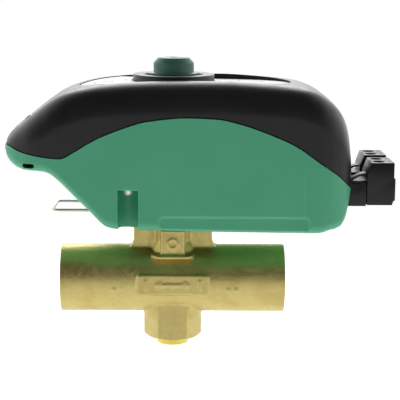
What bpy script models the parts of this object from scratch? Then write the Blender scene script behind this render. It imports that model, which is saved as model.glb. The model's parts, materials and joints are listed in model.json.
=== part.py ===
"""Zone valve: a brass sweat-end ball valve with a clip-on actuator head.

Frame: origin where the pipe's axis meets the stem's axis, X along the pipe,
Y from the front to the back of the head, Z up. Lengths below are in
millimetres and MM turns them into metres.
"""
import math

import bmesh
import bpy
from mathutils import Matrix, Vector

MM = 0.001
GAP = 0.3

# Brass body
TUBE_R = 13.1
TUBE_HALF = 43.0
SOCKET_R = 11.15
SOCKET_DEPTH = 19.8
WATERWAY_R = 6.6
CHAMBER_R = 9.95
CHAMBER_LEFT = -12.4
RETAINER_END = 19.5
NECK_HALF = 15.1
NECK_THICK = 8.0
NECK_TOP = 31.0
NECK_FILLET = 3.8
COLUMN_R = 7.9
LEDGE_HALF = 7.9
LEDGE_FRONT = 12.5
LEDGE_CORNER = 3.0
LEDGE_LOW = 9.7
LEDGE_Z = 11.0
FLARE_R = 9.6
FLARE_BOTTOM = 11.3
FLARE_TOP = 16.0
TAB_HALF = 4.6
TAB_FRONT = 11.4
TAB_RELIEF_LOW = 20.3
TAB_RELIEF_HIGH = 25.6
TAB_RELIEF_Y = 9.4
HEX_FLATS = 19.5
HEX_BOTTOM = -23.1
HEX_CHAMFER = 2.6
HEX_CHAMFER_R = 9.3
SHOULDER_TOP = -5.0
SHOULDER_BOTTOM = -15.4
SHOULDER_R = 10.9
SHOULDER_TOP_R = 12.0
SHOULDER_HALF = 9.4
PLUG_R = 6.15
PLUG_BOTTOM = -25.9
PLUG_STEM_R = 4.4
PAD_HALF = 13.7
PAD_LOW = -4.3
PAD_HIGH = 3.9
PAD_RAISE = 0.45

# Ball, seats and stem
BALL_R = 9.4
PORT_R = 6.2
SEAT_R = 9.6
SEAT_OUT = 12.1
STEM_R = 3.2
STEM_BORE_R = 3.5
TANG_HALF = 1.9
TANG_Z = 33.6
STEM_TOP = 36.6
GLAND_R = 4.8
GLAND_LOW = 24.3
GLAND_HIGH = 30.7
RING_LOW_Z = 15.7
RING_HIGH_Z = 19.7
RING_HALF = 0.9

# Actuator head: crown, underside, half width and seam, each against X
CROWN = [
    (-62.3, 54.6), (-61.8, 56.7), (-60.0, 59.0), (-57.0, 61.4), (-49.5, 67.4),
    (-44.2, 71.3), (-39.5, 74.0), (-34.0, 76.0), (-26.0, 77.2), (-12.0, 78.0),
    (3.0, 78.2), (18.0, 78.1), (32.0, 77.5), (43.0, 76.8), (48.5, 75.9),
    (54.0, 73.8), (58.6, 70.7), (62.2, 66.8), (64.6, 62.0), (65.8, 57.0),
    (66.2, 53.0),
]
UNDERSIDE = [
    (-62.3, 52.6), (-61.8, 50.8), (-60.2, 48.3), (-57.6, 46.5), (-54.4, 45.6),
    (-50.5, 45.4), (-47.6, 45.2), (-45.2, 44.4), (-42.6, 42.5), (-36.2, 36.2),
    (-29.2, 29.2), (-26.6, 26.5), (-24.2, 24.8), (-20.5, 24.0), (0.0, 23.4),
    (46.0, 22.8), (53.5, 22.7), (57.5, 23.5), (62.0, 24.8), (64.0, 27.4),
    (65.4, 32.5), (66.2, 36.5),
]
HALF_WIDTH = [
    (-62.3, 17.5), (-61.8, 19.4), (-60.2, 22.2), (-57.0, 25.1), (-52.0, 27.6),
    (-46.0, 28.7), (-39.0, 29.0), (49.0, 29.0), (53.5, 28.7),
    (58.0, 27.8), (61.5, 26.2), (64.2, 23.9), (65.6, 21.7), (66.2, 19.8),
]
SEAM = [
    (-70.0, 57.0), (-62.3, 55.0), (-60.1, 54.4), (-56.0, 52.7), (-49.4, 51.3),
    (-43.6, 50.6), (-41.0, 50.5), (-39.6, 50.9), (-36.1, 52.9), (-27.7, 57.8),
    (-19.0, 61.4), (-9.3, 64.3), (5.3, 65.7), (15.9, 65.3), (25.6, 63.2),
    (35.3, 59.8), (45.1, 55.4), (53.7, 49.4), (61.0, 44.2), (66.2, 39.0),
    (74.0, 31.0),
]
TOP_ROUND = 13.0
TOP_ROUND_Z = 11.5
BOTTOM_ROUND = 3.6
CROWN_DROP = 0.0024
WALL = 2.0
FLOOR_WALL = 2.6
FLOOR_LEFT = -24.2
SEAM_GAP = 0.5
STATION_STEP = 1.4
CAVITY_LEFT = -57.0
CAVITY_RIGHT = 64.2
NOSE_FLOOR = 51.6
NOSE_RIGHT = -47.0

# Details of the head
CHANNEL_X = -16.4
CHANNEL_Y = 23.9
CHANNEL_R = 3.7
CHANNEL_TOP = 38.8
CHANNEL_BOSS_R = 5.6
CHANNEL_BOSS_TOP = 41.0
POST_R = 2.7
POST_BOTTOM = 41.6
COVER_SCREW_R = 1.3
PANEL_LEFT = -4.7
PANEL_RIGHT = 50.2
PANEL_TOP = 28.8
PANEL_DEPTH = 0.9
TIE_SLOT_X = -52.8
TIE_SLOT_Z = 47.4
TIE_SLOT_REACH = 2.2
TIE_SLOT_HALF = 0.9
LABEL_R = 14.5
LABEL_LEFT = -21.0
LABEL_RIGHT = 29.8
LABEL_POCKET = 0.95
LABEL_INSET = 0.3
LABEL_THICK = 0.35
COLLAR_R = 15.5
COLLAR_TOP = 79.4
COLLAR_SEAT = 78.55
COLLAR_SPIGOT_R = 12.6
BADGE_X = -53.2
BADGE_LENGTH = 13.0
BADGE_HALF = 10.0
BADGE_POCKET = 0.8
BADGE_INSET = 0.2
BADGE_THICK = 0.3
LENS_X = -56.0
LENS_R = 2.1
NECK_HOLE_X = 15.6
NECK_HOLE_Y = 12.2
NECK_HOLE_R = 3.0
GASKET_MARGIN = 2.9
GASKET_LOW = 26.6
GASKET_HIGH = 27.3
PILOT_R = 1.15
POST_HOLE_R = 3.0
SCREW_HEAD_R = 2.1
SCREW_TIP = 50.5

# Knob
KNOB_R = 7.7
KNOB_TOP = 85.6
KNOB_FLANGE_R = 9.7
KNOB_FLANGE_Z = 79.1
KNOB_SKIRT_Z = 78.3
SPLINE_R = 3.0
SPLINE_TOP = 82.0

# Wire clip
WIRE_R = 0.53
CLIP_HALF = 10.0
CLIP_Z = 28.2
CLIP_OUT = -45.6
CLIP_IN = 6.0
CLIP_BEND = 1.8

# Gear train: pitch radii come from tooth counts and one module
MODULE = 1.0
OUTPUT_TEETH = 32
SECOND_PINION_TEETH = 9
WHEEL_TEETH = 23
PINION_TEETH = 8
SHAFT_R = 4.6
SHAFT_BOTTOM = 31.4
LOWER_PLATE_Z = 38.2
UPPER_PLATE_Z = 53.4
PLATE_THICK = 1.2
SECOND_Y = -8.5
MOTOR_X = -19.5
MOTOR_Y = 10.5
MOTOR_R = 9.8
MOTOR_TOP = 71.5
AXLE_R = 1.1
PILLARS = [(14.5, -17.4), (14.5, 17.4), (-3.0, -21.5), (-3.0, 21.5)]
PILLAR_R = 2.4
CAM_R = 9.4
CAM_FALL = 1.2
CAM_LOW = 56.6
CAM_HIGH = 59.0
OUTPUT_LOW = 41.4
OUTPUT_HIGH = 45.0
SECOND_WHEEL_LOW = 46.3
FIRST_WHEEL_LOW = 50.0
WHEEL_THICK = 2.3
MOTOR_PINION_LOW = 49.7
MOTOR_PINION_HIGH = 52.7
BUSH_R = 6.5
BUSH_LIP_R = 7.6
PILLAR_PIN_R = 1.3
PILLAR_BOTTOM = 26.7
LEVER_PIVOT_X = -11.5
LEVER_Y = -10.3

# Electronics and terminals
BOARD_Z = 29.8
BOARD_THICK = 1.6
BOARD_LEFT = 21.0
BOARD_RIGHT = 62.5
BOARD_HALF = 24.0
BOARD_CORNER = 5.0
BOARD_HOLES = [(25.0, -20.5), (25.0, 20.5)]
CAPACITOR_R = 6.2
CAPACITOR_LEFT = 31.0
CAPACITOR_RIGHT = 55.0
CAPACITOR_Y = 13.0
RELAY_LEFT = 38.0
RELAY_RIGHT = 54.0
RELAY_HALF = 6.0
RELAY_HEIGHT = 13.5
LAMP_X = -50.6
LAMP_R = 1.4
LAMP_BOTTOM = 54.5
LAMP_TOP = 58.6
HEADER_LEFT = 59.0
HEADER_RIGHT = 72.2
HEADER_HALF = 18.6
HEADER_BOTTOM = 31.8
HEADER_TOP = 44.4
PLUG_LEFT = 72.5
PLUG_RIGHT = 82.6
PLUG_LOW = 32.1
PLUG_HIGH = 48.1
PLUG_NEAR = 3.2
PLUG_WIDTH = 15.2
POLE_PITCH = 7.62
CLAMP_SCREW_X = 77.1
CLAMP_SCREW_R = 1.8
CLAMP_SCREW_TOP = 47.2
CLAMP_WELL_R = 2.1
CLAMP_WELL_Z = 44.2
ENTRY_LEFT = 76.0
ENTRY_HALF = 2.6
ENTRY_LOW = 34.6
ENTRY_HIGH = 40.4
TONGUE_MARGIN = 2.1
RECESS_MARGIN = 1.6
PROBE_X = 81.0

BRASS = (0.62, 0.50, 0.20)
GREEN = (0.06, 0.32, 0.19)
BLACK = (0.012, 0.012, 0.014)

parts = bpy.data.collections.new("zone_valve")
cutters = bpy.data.collections.new("cutters")


def clear_scene():
    """Empty the file, so the valve is the only thing in it."""
    for obj in list(bpy.data.objects):
        bpy.data.objects.remove(obj, do_unlink=True)
    bpy.context.scene.collection.children.link(parts)
    bpy.context.scene.collection.children.link(cutters)


# ---------------------------------------------------------------- tools


def make_material(name, colour, roughness, metallic=0.0):
    """A Principled material of one colour."""
    material = bpy.data.materials.new(name)
    material.use_nodes = True
    shader = material.node_tree.nodes["Principled BSDF"]
    shader.inputs["Base Color"].default_value = (*colour, 1.0)
    shader.inputs["Roughness"].default_value = roughness
    shader.inputs["Metallic"].default_value = metallic
    return material


def link(name, data):
    """Wrap a mesh or a curve in an object, for now among the cutters."""
    obj = bpy.data.objects.new(name, data)
    cutters.objects.link(obj)
    return obj


def from_bmesh(name, bm):
    """Turn a bmesh into an object, with its faces pointing out."""
    bmesh.ops.recalc_face_normals(bm, faces=bm.faces[:])
    mesh = bpy.data.meshes.new(name)
    bm.to_mesh(mesh)
    bm.free()
    return link(name, mesh)


def bake(obj):
    """Replace an object's mesh, or curve, by what its modifiers make of it."""
    bpy.context.view_layer.update()
    graph = bpy.context.evaluated_depsgraph_get()
    mesh = bpy.data.meshes.new_from_object(obj.evaluated_get(graph))
    bm = bmesh.new()
    bm.from_mesh(mesh)
    bmesh.ops.remove_doubles(bm, verts=bm.verts[:], dist=0.002 * MM)
    bmesh.ops.recalc_face_normals(bm, faces=bm.faces[:])
    bm.transform(obj.matrix_world)
    bm.to_mesh(mesh)
    bm.free()
    name = obj.name
    bpy.data.objects.remove(obj, do_unlink=True)
    return link(name, mesh)


def boolean(target, tool, operation):
    """Join, cut or intersect one object with another, which it uses up."""
    modifier = target.modifiers.new("cut", "BOOLEAN")
    modifier.object = tool
    modifier.operation = operation
    modifier.solver = "EXACT"
    result = bake(target)
    bpy.data.objects.remove(tool, do_unlink=True)
    return result


def cut(target, *tools):
    """Take each tool out of the target."""
    for tool in tools:
        target = boolean(target, tool, "DIFFERENCE")
    return target


def join(target, *others):
    """Weld each of the others onto the target."""
    for other in others:
        target = boolean(target, other, "UNION")
    return target


def bevel(obj, width, segments=2, angle=40.0):
    """Round every edge sharper than the angle."""
    modifier = obj.modifiers.new("round", "BEVEL")
    modifier.width = width * MM
    modifier.segments = segments
    modifier.limit_method = "ANGLE"
    modifier.angle_limit = math.radians(angle)
    return bake(obj)


def box(name, low, high):
    """A box between two corners."""
    bm = bmesh.new()
    bmesh.ops.create_cube(bm, size=1.0)
    low, high = Vector(low) * MM, Vector(high) * MM
    size = high - low
    bmesh.ops.scale(bm, vec=size, verts=bm.verts[:])
    bmesh.ops.translate(bm, vec=(low + high) / 2, verts=bm.verts[:])
    return from_bmesh(name, bm)


def rod(name, start, end, radius, sides=24, end_radius=None):
    """A round bar, or a cone, between two points."""
    start, end = Vector(start) * MM, Vector(end) * MM
    run = end - start
    turn = Vector((0, 0, 1)).rotation_difference(run).to_matrix().to_4x4()
    bm = bmesh.new()
    bmesh.ops.create_cone(
        bm, cap_ends=True, segments=sides, radius1=radius * MM,
        radius2=(radius if end_radius is None else end_radius) * MM,
        depth=run.length,
        matrix=Matrix.Translation((start + end) / 2) @ turn,
    )
    return from_bmesh(name, bm)


def turned(name, profile, sides=32, centre=(0, 0), axis="Z"):
    """Spin a profile of (radius, height) points about an axis."""
    bm = bmesh.new()
    points = [bm.verts.new((r * MM, 0.0, z * MM)) for r, z in profile]
    for first, second in zip(points, points[1:]):
        bm.edges.new((first, second))
    if profile[0][0] > 0 or profile[-1][0] > 0:
        bm.edges.new((points[-1], points[0]))
    mesh = bpy.data.meshes.new(name)
    bm.to_mesh(mesh)
    bm.free()
    obj = link(name, mesh)
    screw = obj.modifiers.new("spin", "SCREW")
    screw.axis = "Z"
    screw.angle = math.tau
    screw.steps = screw.render_steps = sides
    screw.use_merge_vertices = True
    screw.merge_threshold = 0.002 * MM
    if axis == "X":
        obj.rotation_euler = (0.0, math.pi / 2, 0.0)
    obj.location = (centre[0] * MM, centre[1] * MM, 0.0)
    return bake(obj)


def extruded(name, loops, low, high, axis="Z"):
    """Fill flat loops, holes included, and give them thickness."""
    curve = bpy.data.curves.new(name, "CURVE")
    curve.dimensions = "2D"
    curve.fill_mode = "BOTH"
    curve.extrude = (high - low) / 2 * MM
    for loop in loops:
        spline = curve.splines.new("POLY")
        spline.points.add(len(loop) - 1)
        for point, (across, along) in zip(spline.points, loop):
            point.co = (across * MM, along * MM, 0.0, 1.0)
        spline.use_cyclic_u = True
    obj = link(name, curve)
    middle = (low + high) / 2 * MM
    if axis == "Z":
        obj.location = (0.0, 0.0, middle)
    else:
        obj.rotation_euler = (math.pi / 2, 0.0, 0.0)
        obj.location = (0.0, middle, 0.0)
    return bake(obj)


def circle(radius, sides=20, centre=(0, 0)):
    """Points round a circle."""
    turns = [math.tau * i / sides for i in range(sides)]
    return [(centre[0] + radius * math.cos(a), centre[1] + radius * math.sin(a)) for a in turns]


def rounded_rectangle(low, high, radius, steps=4):
    """Points round a rectangle with quarter-circle corners."""
    points = []
    corners = [(high[0], high[1], 0), (low[0], high[1], 1), (low[0], low[1], 2), (high[0], low[1], 3)]
    for x, y, quarter in corners:
        cx = x - math.copysign(radius, x - (low[0] + high[0]) / 2)
        cy = y - math.copysign(radius, y - (low[1] + high[1]) / 2)
        for i in range(steps + 1):
            a = math.pi / 2 * (quarter + i / steps)
            points.append((cx + radius * math.cos(a), cy + radius * math.sin(a)))
    return points


def finish(obj, name, material, pivot=(0, 0, 0)):
    """Name a piece, give it its material, and put its origin at its pivot."""
    pivot = Vector(pivot) * MM
    obj.name = name
    obj.data.name = name
    obj.data.transform(Matrix.Translation(-pivot))
    obj.location = pivot
    obj.data.materials.clear()
    obj.data.materials.append(material)
    obj.data.shade_smooth()
    obj.data.set_sharp_from_angle(angle=math.radians(35.0))
    cutters.objects.unlink(obj)
    parts.objects.link(obj)
    return obj


# ---------------------------------------------------------------- head shape


def along(points, x):
    """Smooth monotone curve through (x, value) points."""
    if x <= points[0][0]:
        return points[0][1]
    if x >= points[-1][0]:
        return points[-1][1]
    slopes = [(b[1] - a[1]) / (b[0] - a[0]) for a, b in zip(points, points[1:])]
    tangents = [slopes[0]]
    for before, after in zip(slopes, slopes[1:]):
        flat = before * after <= 0
        tangents.append(0.0 if flat else 2 * before * after / (before + after))
    tangents.append(slopes[-1])
    i = max(k for k, point in enumerate(points[:-1]) if point[0] <= x)
    (x0, y0), (x1, y1) = points[i], points[i + 1]
    span = x1 - x0
    t = (x - x0) / span
    return (
        y0 * (1 + 2 * t) * (1 - t) ** 2 + tangents[i] * span * t * (1 - t) ** 2
        + y1 * t * t * (3 - 2 * t) + tangents[i + 1] * span * t * t * (t - 1)
    )


def head_section(x, inset, low, high, corner_steps, top_steps):
    """One closed cross-section of the head, in its Y-Z plane."""
    half = along(HALF_WIDTH, x) - inset
    height = high - low
    round_y = min(TOP_ROUND, 0.62 * half)
    round_z = min(TOP_ROUND_Z, 0.48 * height)
    bottom = min(BOTTOM_ROUND, 0.3 * height)
    flat = half - round_y
    shoulder = high - CROWN_DROP * flat * flat
    ring = []
    for i in range(corner_steps + 1):
        a = math.pi / 2 * i / corner_steps
        ring.append((half - bottom + bottom * math.sin(a), low + bottom - bottom * math.cos(a)))
    for i in range(top_steps + 1):
        a = math.pi / 2 * i / top_steps
        rise = shoulder - round_z + round_z * math.sin(a)
        ring.append((flat + round_y * math.cos(a), rise))
    for y in (flat / 2, 0.0):
        ring.append((y, high - CROWN_DROP * y * y))
    mirrored = [(-y, z) for y, z in reversed(ring[:-1])]
    return [Vector((x * MM, y * MM, z * MM)) for y, z in ring + mirrored]


def loft(name, rings):
    """Skin a row of equal rings and close both ends."""
    bm = bmesh.new()
    rows = [[bm.verts.new(point) for point in ring] for ring in rings]
    count = len(rows[0])
    for first, second in zip(rows, rows[1:]):
        for i in range(count):
            j = (i + 1) % count
            bm.faces.new((first[i], first[j], second[j], second[i]))
    bm.faces.new(rows[0][::-1])
    bm.faces.new(rows[-1])
    return from_bmesh(name, bm)


def head_stations(first, last):
    """Where the head's cross-sections stand: close together at its ends."""
    marks = sorted({x for x, _ in CROWN} | {x for x, _ in UNDERSIDE})
    inner = [x for x in marks if first + 0.7 < x < last - 0.7]
    kept = [first]
    for x in inner:
        if x - kept[-1] > STATION_STEP:
            kept.append(x)
    return kept + [last]


def head_solid(name, inset=0.0, corner_steps=2, top_steps=4):
    """The head's outer form, or the same form shrunk by a small inset."""
    rings = []
    for x in head_stations(CROWN[0][0] + inset, CROWN[-1][0] - inset):
        low = along(UNDERSIDE, x) + inset
        high = along(CROWN, x) - inset
        rings.append(head_section(x, inset, low, high, corner_steps, top_steps))
    return loft(name, rings)


def cavity_solid(name):
    """The space inside the casing and the cover, one wall in from the outside."""
    rings = []
    step = 0.5
    for x in head_stations(CAVITY_LEFT, CAVITY_RIGHT):
        falls = (along(CROWN, x + step) - along(CROWN, x - step)) / (2 * step)
        rises = (along(UNDERSIDE, x + step) - along(UNDERSIDE, x - step)) / (2 * step)
        wall = WALL if x < FLOOR_LEFT else FLOOR_WALL
        low = along(UNDERSIDE, x) + wall * min(math.hypot(1.0, rises), 1.8)
        high = along(CROWN, x) - WALL * min(math.hypot(1.0, falls), 2.2)
        if x < NOSE_RIGHT:
            low = NOSE_FLOOR
        rings.append(head_section(x, WALL, low, high, 1, 3))
    return loft(name, rings)


def above_seam(name, shift):
    """Everything over the parting line, moved up or down by a shift."""
    line = [(x, z + shift) for x, z in SEAM]
    outline = line + [(SEAM[-1][0], 95.0), (SEAM[0][0], 95.0)]
    return extruded(name, [outline], -40.0, 40.0, axis="Y")


# ---------------------------------------------------------------- brass body


def body_bore():
    """Sockets, waterway and ball chamber, as one turned cutter along X."""
    end = TUBE_HALF + 1.0
    stop = TUBE_HALF - SOCKET_DEPTH
    profile = [
        (0.0, -end), (SOCKET_R, -end), (SOCKET_R, -stop), (WATERWAY_R, -stop),
        (WATERWAY_R, CHAMBER_LEFT), (CHAMBER_R, CHAMBER_LEFT),
        (CHAMBER_R, RETAINER_END), (CHAMBER_R, stop), (SOCKET_R, stop),
        (SOCKET_R, end), (0.0, end),
    ]
    return turned("bore", profile, sides=28, axis="X")


def neck_plate():
    """The flat neck with its concave feet on the tube."""
    foot = TUBE_R - 1.2
    outline = [(NECK_HALF, NECK_TOP), (NECK_HALF, foot + NECK_FILLET)]
    for i in range(1, 5):
        a = math.pi / 2 * i / 4
        x = NECK_HALF + NECK_FILLET * (1 - math.cos(a))
        outline.append((x, foot + NECK_FILLET * (1 - math.sin(a))))
    outline += [(NECK_HALF + NECK_FILLET, 5.0)]
    outline += [(-x, z) for x, z in reversed(outline)]
    return extruded("neck", [outline], -NECK_THICK / 2, NECK_THICK / 2, axis="Y")


def flow_pads():
    """A raised, blank pad on the front and the back of the tube."""
    pads = []
    for side in (-1, 1):
        front = side * (TUBE_R + PAD_RAISE)
        inner = side * (TUBE_R - 2.2)
        pad = extruded(
            "pad", [rounded_rectangle((-PAD_HALF, PAD_LOW), (PAD_HALF, PAD_HIGH), 1.4)],
            min(front, inner), max(front, inner), axis="Y",
        )
        pads.append(pad)
    return pads


def make_valve_body(material):
    """Tube, neck, stem column, ledge and hexagon, bored and cut."""
    chamfer = 0.45
    tube = turned(
        "tube",
        [
            (0.0, -TUBE_HALF), (TUBE_R - chamfer, -TUBE_HALF), (TUBE_R, -TUBE_HALF + chamfer),
            (TUBE_R, TUBE_HALF - chamfer), (TUBE_R - chamfer, TUBE_HALF), (0.0, TUBE_HALF),
        ],
        sides=32, axis="X",
    )
    column = rod("column", (0, 0, 3), (0, 0, NECK_TOP), COLUMN_R, 20)
    ledge_outline = rounded_rectangle((-LEDGE_HALF, -LEDGE_FRONT), (LEDGE_HALF, LEDGE_FRONT), LEDGE_CORNER)
    ledge = bevel(extruded("ledge", [ledge_outline], LEDGE_LOW, LEDGE_Z), 0.4, 1)
    tab = box("tab", (-TAB_HALF, -TAB_FRONT, LEDGE_LOW + 0.5), (TAB_HALF, TAB_FRONT, NECK_TOP))
    hexagon = extruded("hexagon", [circle(HEX_FLATS / math.sqrt(3), 6)], HEX_BOTTOM, -4.0)
    shoulder = rod(
        "shoulder", (0, 0, SHOULDER_BOTTOM), (0, 0, SHOULDER_TOP), SHOULDER_R, 24, end_radius=SHOULDER_TOP_R,
    )
    for side in (-1, 1):
        near, far = sorted((side * SHOULDER_HALF, side * TUBE_R))
        shoulder = cut(shoulder, box("flat", (-TUBE_R, near, -TUBE_R - 5), (TUBE_R, far, 0)))
    flare = rod("flare", (0, 0, FLARE_BOTTOM), (0, 0, FLARE_TOP), FLARE_R, 24, end_radius=COLUMN_R - GAP)
    body = join(tube, neck_plate(), column, flare, ledge, tab, hexagon, shoulder, *flow_pads())
    skin = turned(
        "skin",
        [(0.0, 40.0), (60.0, 40.0), (60.0, -16.0), (14.0, -16.0), (14.0, HEX_BOTTOM + HEX_CHAMFER),
         (HEX_CHAMFER_R, HEX_BOTTOM), (0.0, HEX_BOTTOM)],
        sides=24,
    )
    body = boolean(body, skin, "INTERSECT")
    stem_bore = turned(
        "stem_bore",
        [(0.0, 33.0), (GLAND_R + GAP, 33.0), (GLAND_R + GAP, GLAND_LOW - GAP),
         (STEM_BORE_R, GLAND_LOW - GAP), (STEM_BORE_R, 5.0), (0.0, 5.0)],
        sides=20,
    )
    drain = turned(
        "drain",
        [(0.0, -6.0), (PLUG_STEM_R + GAP, -6.0), (PLUG_STEM_R + GAP, -24.5), (0.0, -24.5)],
        sides=20,
    )
    notches = []
    for side in (-1, 1):
        near, far = side * (CLIP_HALF - WIRE_R - GAP), side * (TAB_FRONT + 1)
        low = (-TAB_HALF - 1, min(near, far), CLIP_Z - WIRE_R - GAP)
        high = (TAB_HALF + 1, max(near, far), CLIP_Z + WIRE_R + GAP)
        notches.append(box("notch", low, high))
        near = side * TAB_RELIEF_Y
        low = (-TAB_HALF - 1, min(near, far), TAB_RELIEF_LOW)
        high = (TAB_HALF + 1, max(near, far), TAB_RELIEF_HIGH)
        notches.append(box("relief", low, high))
    body = cut(body, body_bore(), stem_bore, drain, *notches)
    return finish(body, "valve_body", material)


def make_bottom_plug(material, rubber):
    """The brass plug in the third port, and its ring."""
    profile = [
        (0.0, -12.5), (PLUG_STEM_R, -12.5), (PLUG_STEM_R, HEX_BOTTOM - GAP),
        (PLUG_R + 0.7, HEX_BOTTOM - GAP), (PLUG_R + 0.7, HEX_BOTTOM - 0.9), (PLUG_R, HEX_BOTTOM - 1.0),
        (PLUG_R, PLUG_BOTTOM + 0.3), (PLUG_R - 0.4, PLUG_BOTTOM), (0.0, PLUG_BOTTOM),
    ]
    finish(turned("plug", profile, sides=24), "bottom_plug", material)
    ring = [
        (PLUG_STEM_R - 0.1, -11.9), (PLUG_STEM_R - 0.1, -10.7), (PLUG_STEM_R - 1.4, -10.7),
        (PLUG_STEM_R - 1.4, -11.9),
    ]
    finish(turned("ring", ring, sides=16), "bottom_plug_seal", rubber)


def make_ball(steel):
    """The bored ball, with the slot that the stem's tang drives."""
    bm = bmesh.new()
    bmesh.ops.create_uvsphere(bm, u_segments=24, v_segments=12, radius=BALL_R * MM)
    ball = from_bmesh("ball", bm)
    port = rod("port", (-12, 0, 0), (12, 0, 0), PORT_R, 20)
    slot = box("slot", (-4.2, -1.8, 7.0), (4.2, 1.8, 11.0))
    finish(cut(ball, port, slot), "ball", steel)


def make_seats(plastic, brass):
    """Two ring seats against the ball, and the ring that holds the right one."""
    for name, side in (("seat_left", -1), ("seat_right", 1)):
        profile = [
            (PORT_R + 0.1, side * 5.6), (SEAT_R, side * 5.6), (SEAT_R, side * SEAT_OUT),
            (PORT_R + 0.1, side * SEAT_OUT),
        ]
        ring = turned(name, profile, sides=24, axis="X")
        bm = bmesh.new()
        bmesh.ops.create_uvsphere(bm, u_segments=24, v_segments=12, radius=(BALL_R + GAP) * MM)
        finish(cut(ring, from_bmesh("ball_space", bm)), name, plastic)
    profile = [
        (WATERWAY_R, SEAT_OUT + GAP), (CHAMBER_R - GAP, SEAT_OUT + GAP), (CHAMBER_R - GAP, RETAINER_END),
        (WATERWAY_R, RETAINER_END),
    ]
    finish(turned("retainer", profile, sides=24, axis="X"), "seat_retainer", brass)


def make_stem(steel, rubber, brass):
    """Stem with a tang at each end, its two rings and its gland."""
    groove = STEM_R - 0.9
    profile = [(0.0, STEM_TOP), (STEM_R, STEM_TOP)]
    for middle in (RING_HIGH_Z, RING_LOW_Z):
        top, bottom = middle + RING_HALF, middle - RING_HALF
        profile += [(STEM_R, top), (groove, top), (groove, bottom), (STEM_R, bottom)]
    profile += [(STEM_R, 9.9), (0.0, 9.9)]
    stem = turned("stem", profile, sides=18)
    tang = box("tang", (-3.0, -1.4, 7.4), (3.0, 1.4, 11.0))
    stem = join(stem, tang)
    for side in (-1, 1):
        near, far = sorted((side * TANG_HALF, side * 5))
        flat = box("flat", (-5, near, TANG_Z), (5, far, 40))
        stem = cut(stem, flat)
    finish(stem, "stem", steel)
    for name, middle in (("stem_seal_lower", RING_LOW_Z), ("stem_seal_upper", RING_HIGH_Z)):
        inner, outer = groove + 0.12, STEM_BORE_R - 0.12
        ring = [
            (outer, middle + 0.5), (outer, middle - 0.5), (inner, middle - 0.5), (inner, middle + 0.5),
        ]
        finish(turned(name, ring, sides=16), name, rubber)
    gland = [
        (GLAND_R, GLAND_HIGH), (GLAND_R, GLAND_LOW), (STEM_R + GAP, GLAND_LOW), (STEM_R + GAP, GLAND_HIGH),
    ]
    finish(turned("gland", gland, sides=18), "stem_gland", brass)


# ---------------------------------------------------------------- shells


def channel_outline(radius, reach):
    """A U open towards the outside face, seen from above, for the front side."""
    points = [(CHANNEL_X + radius, -reach), (CHANNEL_X + radius, -CHANNEL_Y)]
    for i in range(1, 8):
        a = math.pi * i / 8
        points.append((CHANNEL_X + radius * math.cos(a), -CHANNEL_Y + radius * math.sin(a)))
    points += [(CHANNEL_X - radius, -CHANNEL_Y), (CHANNEL_X - radius, -reach)]
    return points


def both_sides(points):
    """The same outline at the front and mirrored to the back."""
    return [points, [(x, -y) for x, y in points]]


def make_lower_casing(material):
    """Green tub: wall, screw channels, panel recess, neck and wire openings."""
    casing = head_solid("casing")
    casing = cut(casing, above_seam("over", -SEAM_GAP / 2))
    cavity = cavity_solid("cavity")
    for outline in both_sides(channel_outline(CHANNEL_BOSS_R, 31.0)):
        cavity = cut(cavity, extruded("boss", [outline], 20.0, CHANNEL_BOSS_TOP))
    for x, y in BOARD_HOLES:
        cavity = cut(cavity, rod("post", (x, y, 20.0), (x, y, BOARD_Z - GAP), POST_HOLE_R, 16))
    casing = cut(casing, cavity)
    for outline in both_sides(channel_outline(CHANNEL_R, 31.0)):
        casing = cut(casing, extruded("channel", [outline], 20.0, CHANNEL_TOP))
    for side in (-1, 1):
        screw_y = side * CHANNEL_Y
        hole = rod("hole", (CHANNEL_X, screw_y, 36.0), (CHANNEL_X, screw_y, 44.0), COVER_SCREW_R + GAP, 12)
        face = rounded_rectangle((PANEL_LEFT, 10.0), (PANEL_RIGHT, PANEL_TOP), 1.6)
        ends = sorted((side * (29.0 - PANEL_DEPTH), side * 32.0))
        panel = extruded("panel", [face], ends[0], ends[1], axis="Y")
        leg = rod("leg", (-38, side * CLIP_HALF, CLIP_Z), (-20, side * CLIP_HALF, CLIP_Z), WIRE_R + 0.4, 12)
        casing = cut(casing, hole, panel, leg)
    neck_hole = rounded_rectangle((-NECK_HOLE_X, -NECK_HOLE_Y), (NECK_HOLE_X, NECK_HOLE_Y), NECK_HOLE_R)
    casing = cut(casing, extruded("neck_hole", [neck_hole], 20.0, 30.0))
    first = (TIE_SLOT_X - TIE_SLOT_REACH, TIE_SLOT_Z - TIE_SLOT_HALF)
    second = (TIE_SLOT_X + TIE_SLOT_REACH, TIE_SLOT_Z + TIE_SLOT_HALF)
    tie = rounded_rectangle(first, second, TIE_SLOT_HALF - 0.05, 3)
    casing = cut(casing, extruded("tie", [tie], -40.0, 40.0, axis="Y"))
    casing = cut(casing, box("drain", (56.0, -26.0, 20.0), (59.0, -21.0, 28.0)))
    for x, y in BOARD_HOLES:
        casing = cut(casing, rod("pilot", (x, y, 27.4), (x, y, 33.0), PILOT_R, 10))
    return finish(cut(casing, header_window()), "lower_casing", material)


def header_window():
    """The opening in the right-hand wall that the terminal header fills."""
    low = (60.0, -HEADER_HALF - GAP, HEADER_BOTTOM - GAP)
    high = (75.0, HEADER_HALF + GAP, HEADER_TOP + GAP)
    return box("window", low, high)


def stadium(radius, left, right, steps=8):
    """A long outline with round ends."""
    points = []
    for centre, start in ((right, -math.pi / 2), (left, math.pi / 2)):
        for i in range(steps + 1):
            a = start + math.pi * i / steps
            points.append((centre + radius * math.cos(a), radius * math.sin(a)))
    return points


def pocket(outline, depth):
    """A cutter that sinks an outline into the head's top by an even depth."""
    prism = extruded("pocket", [outline], 54.0, 95.0)
    return cut(prism, head_solid("under", inset=depth))


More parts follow.
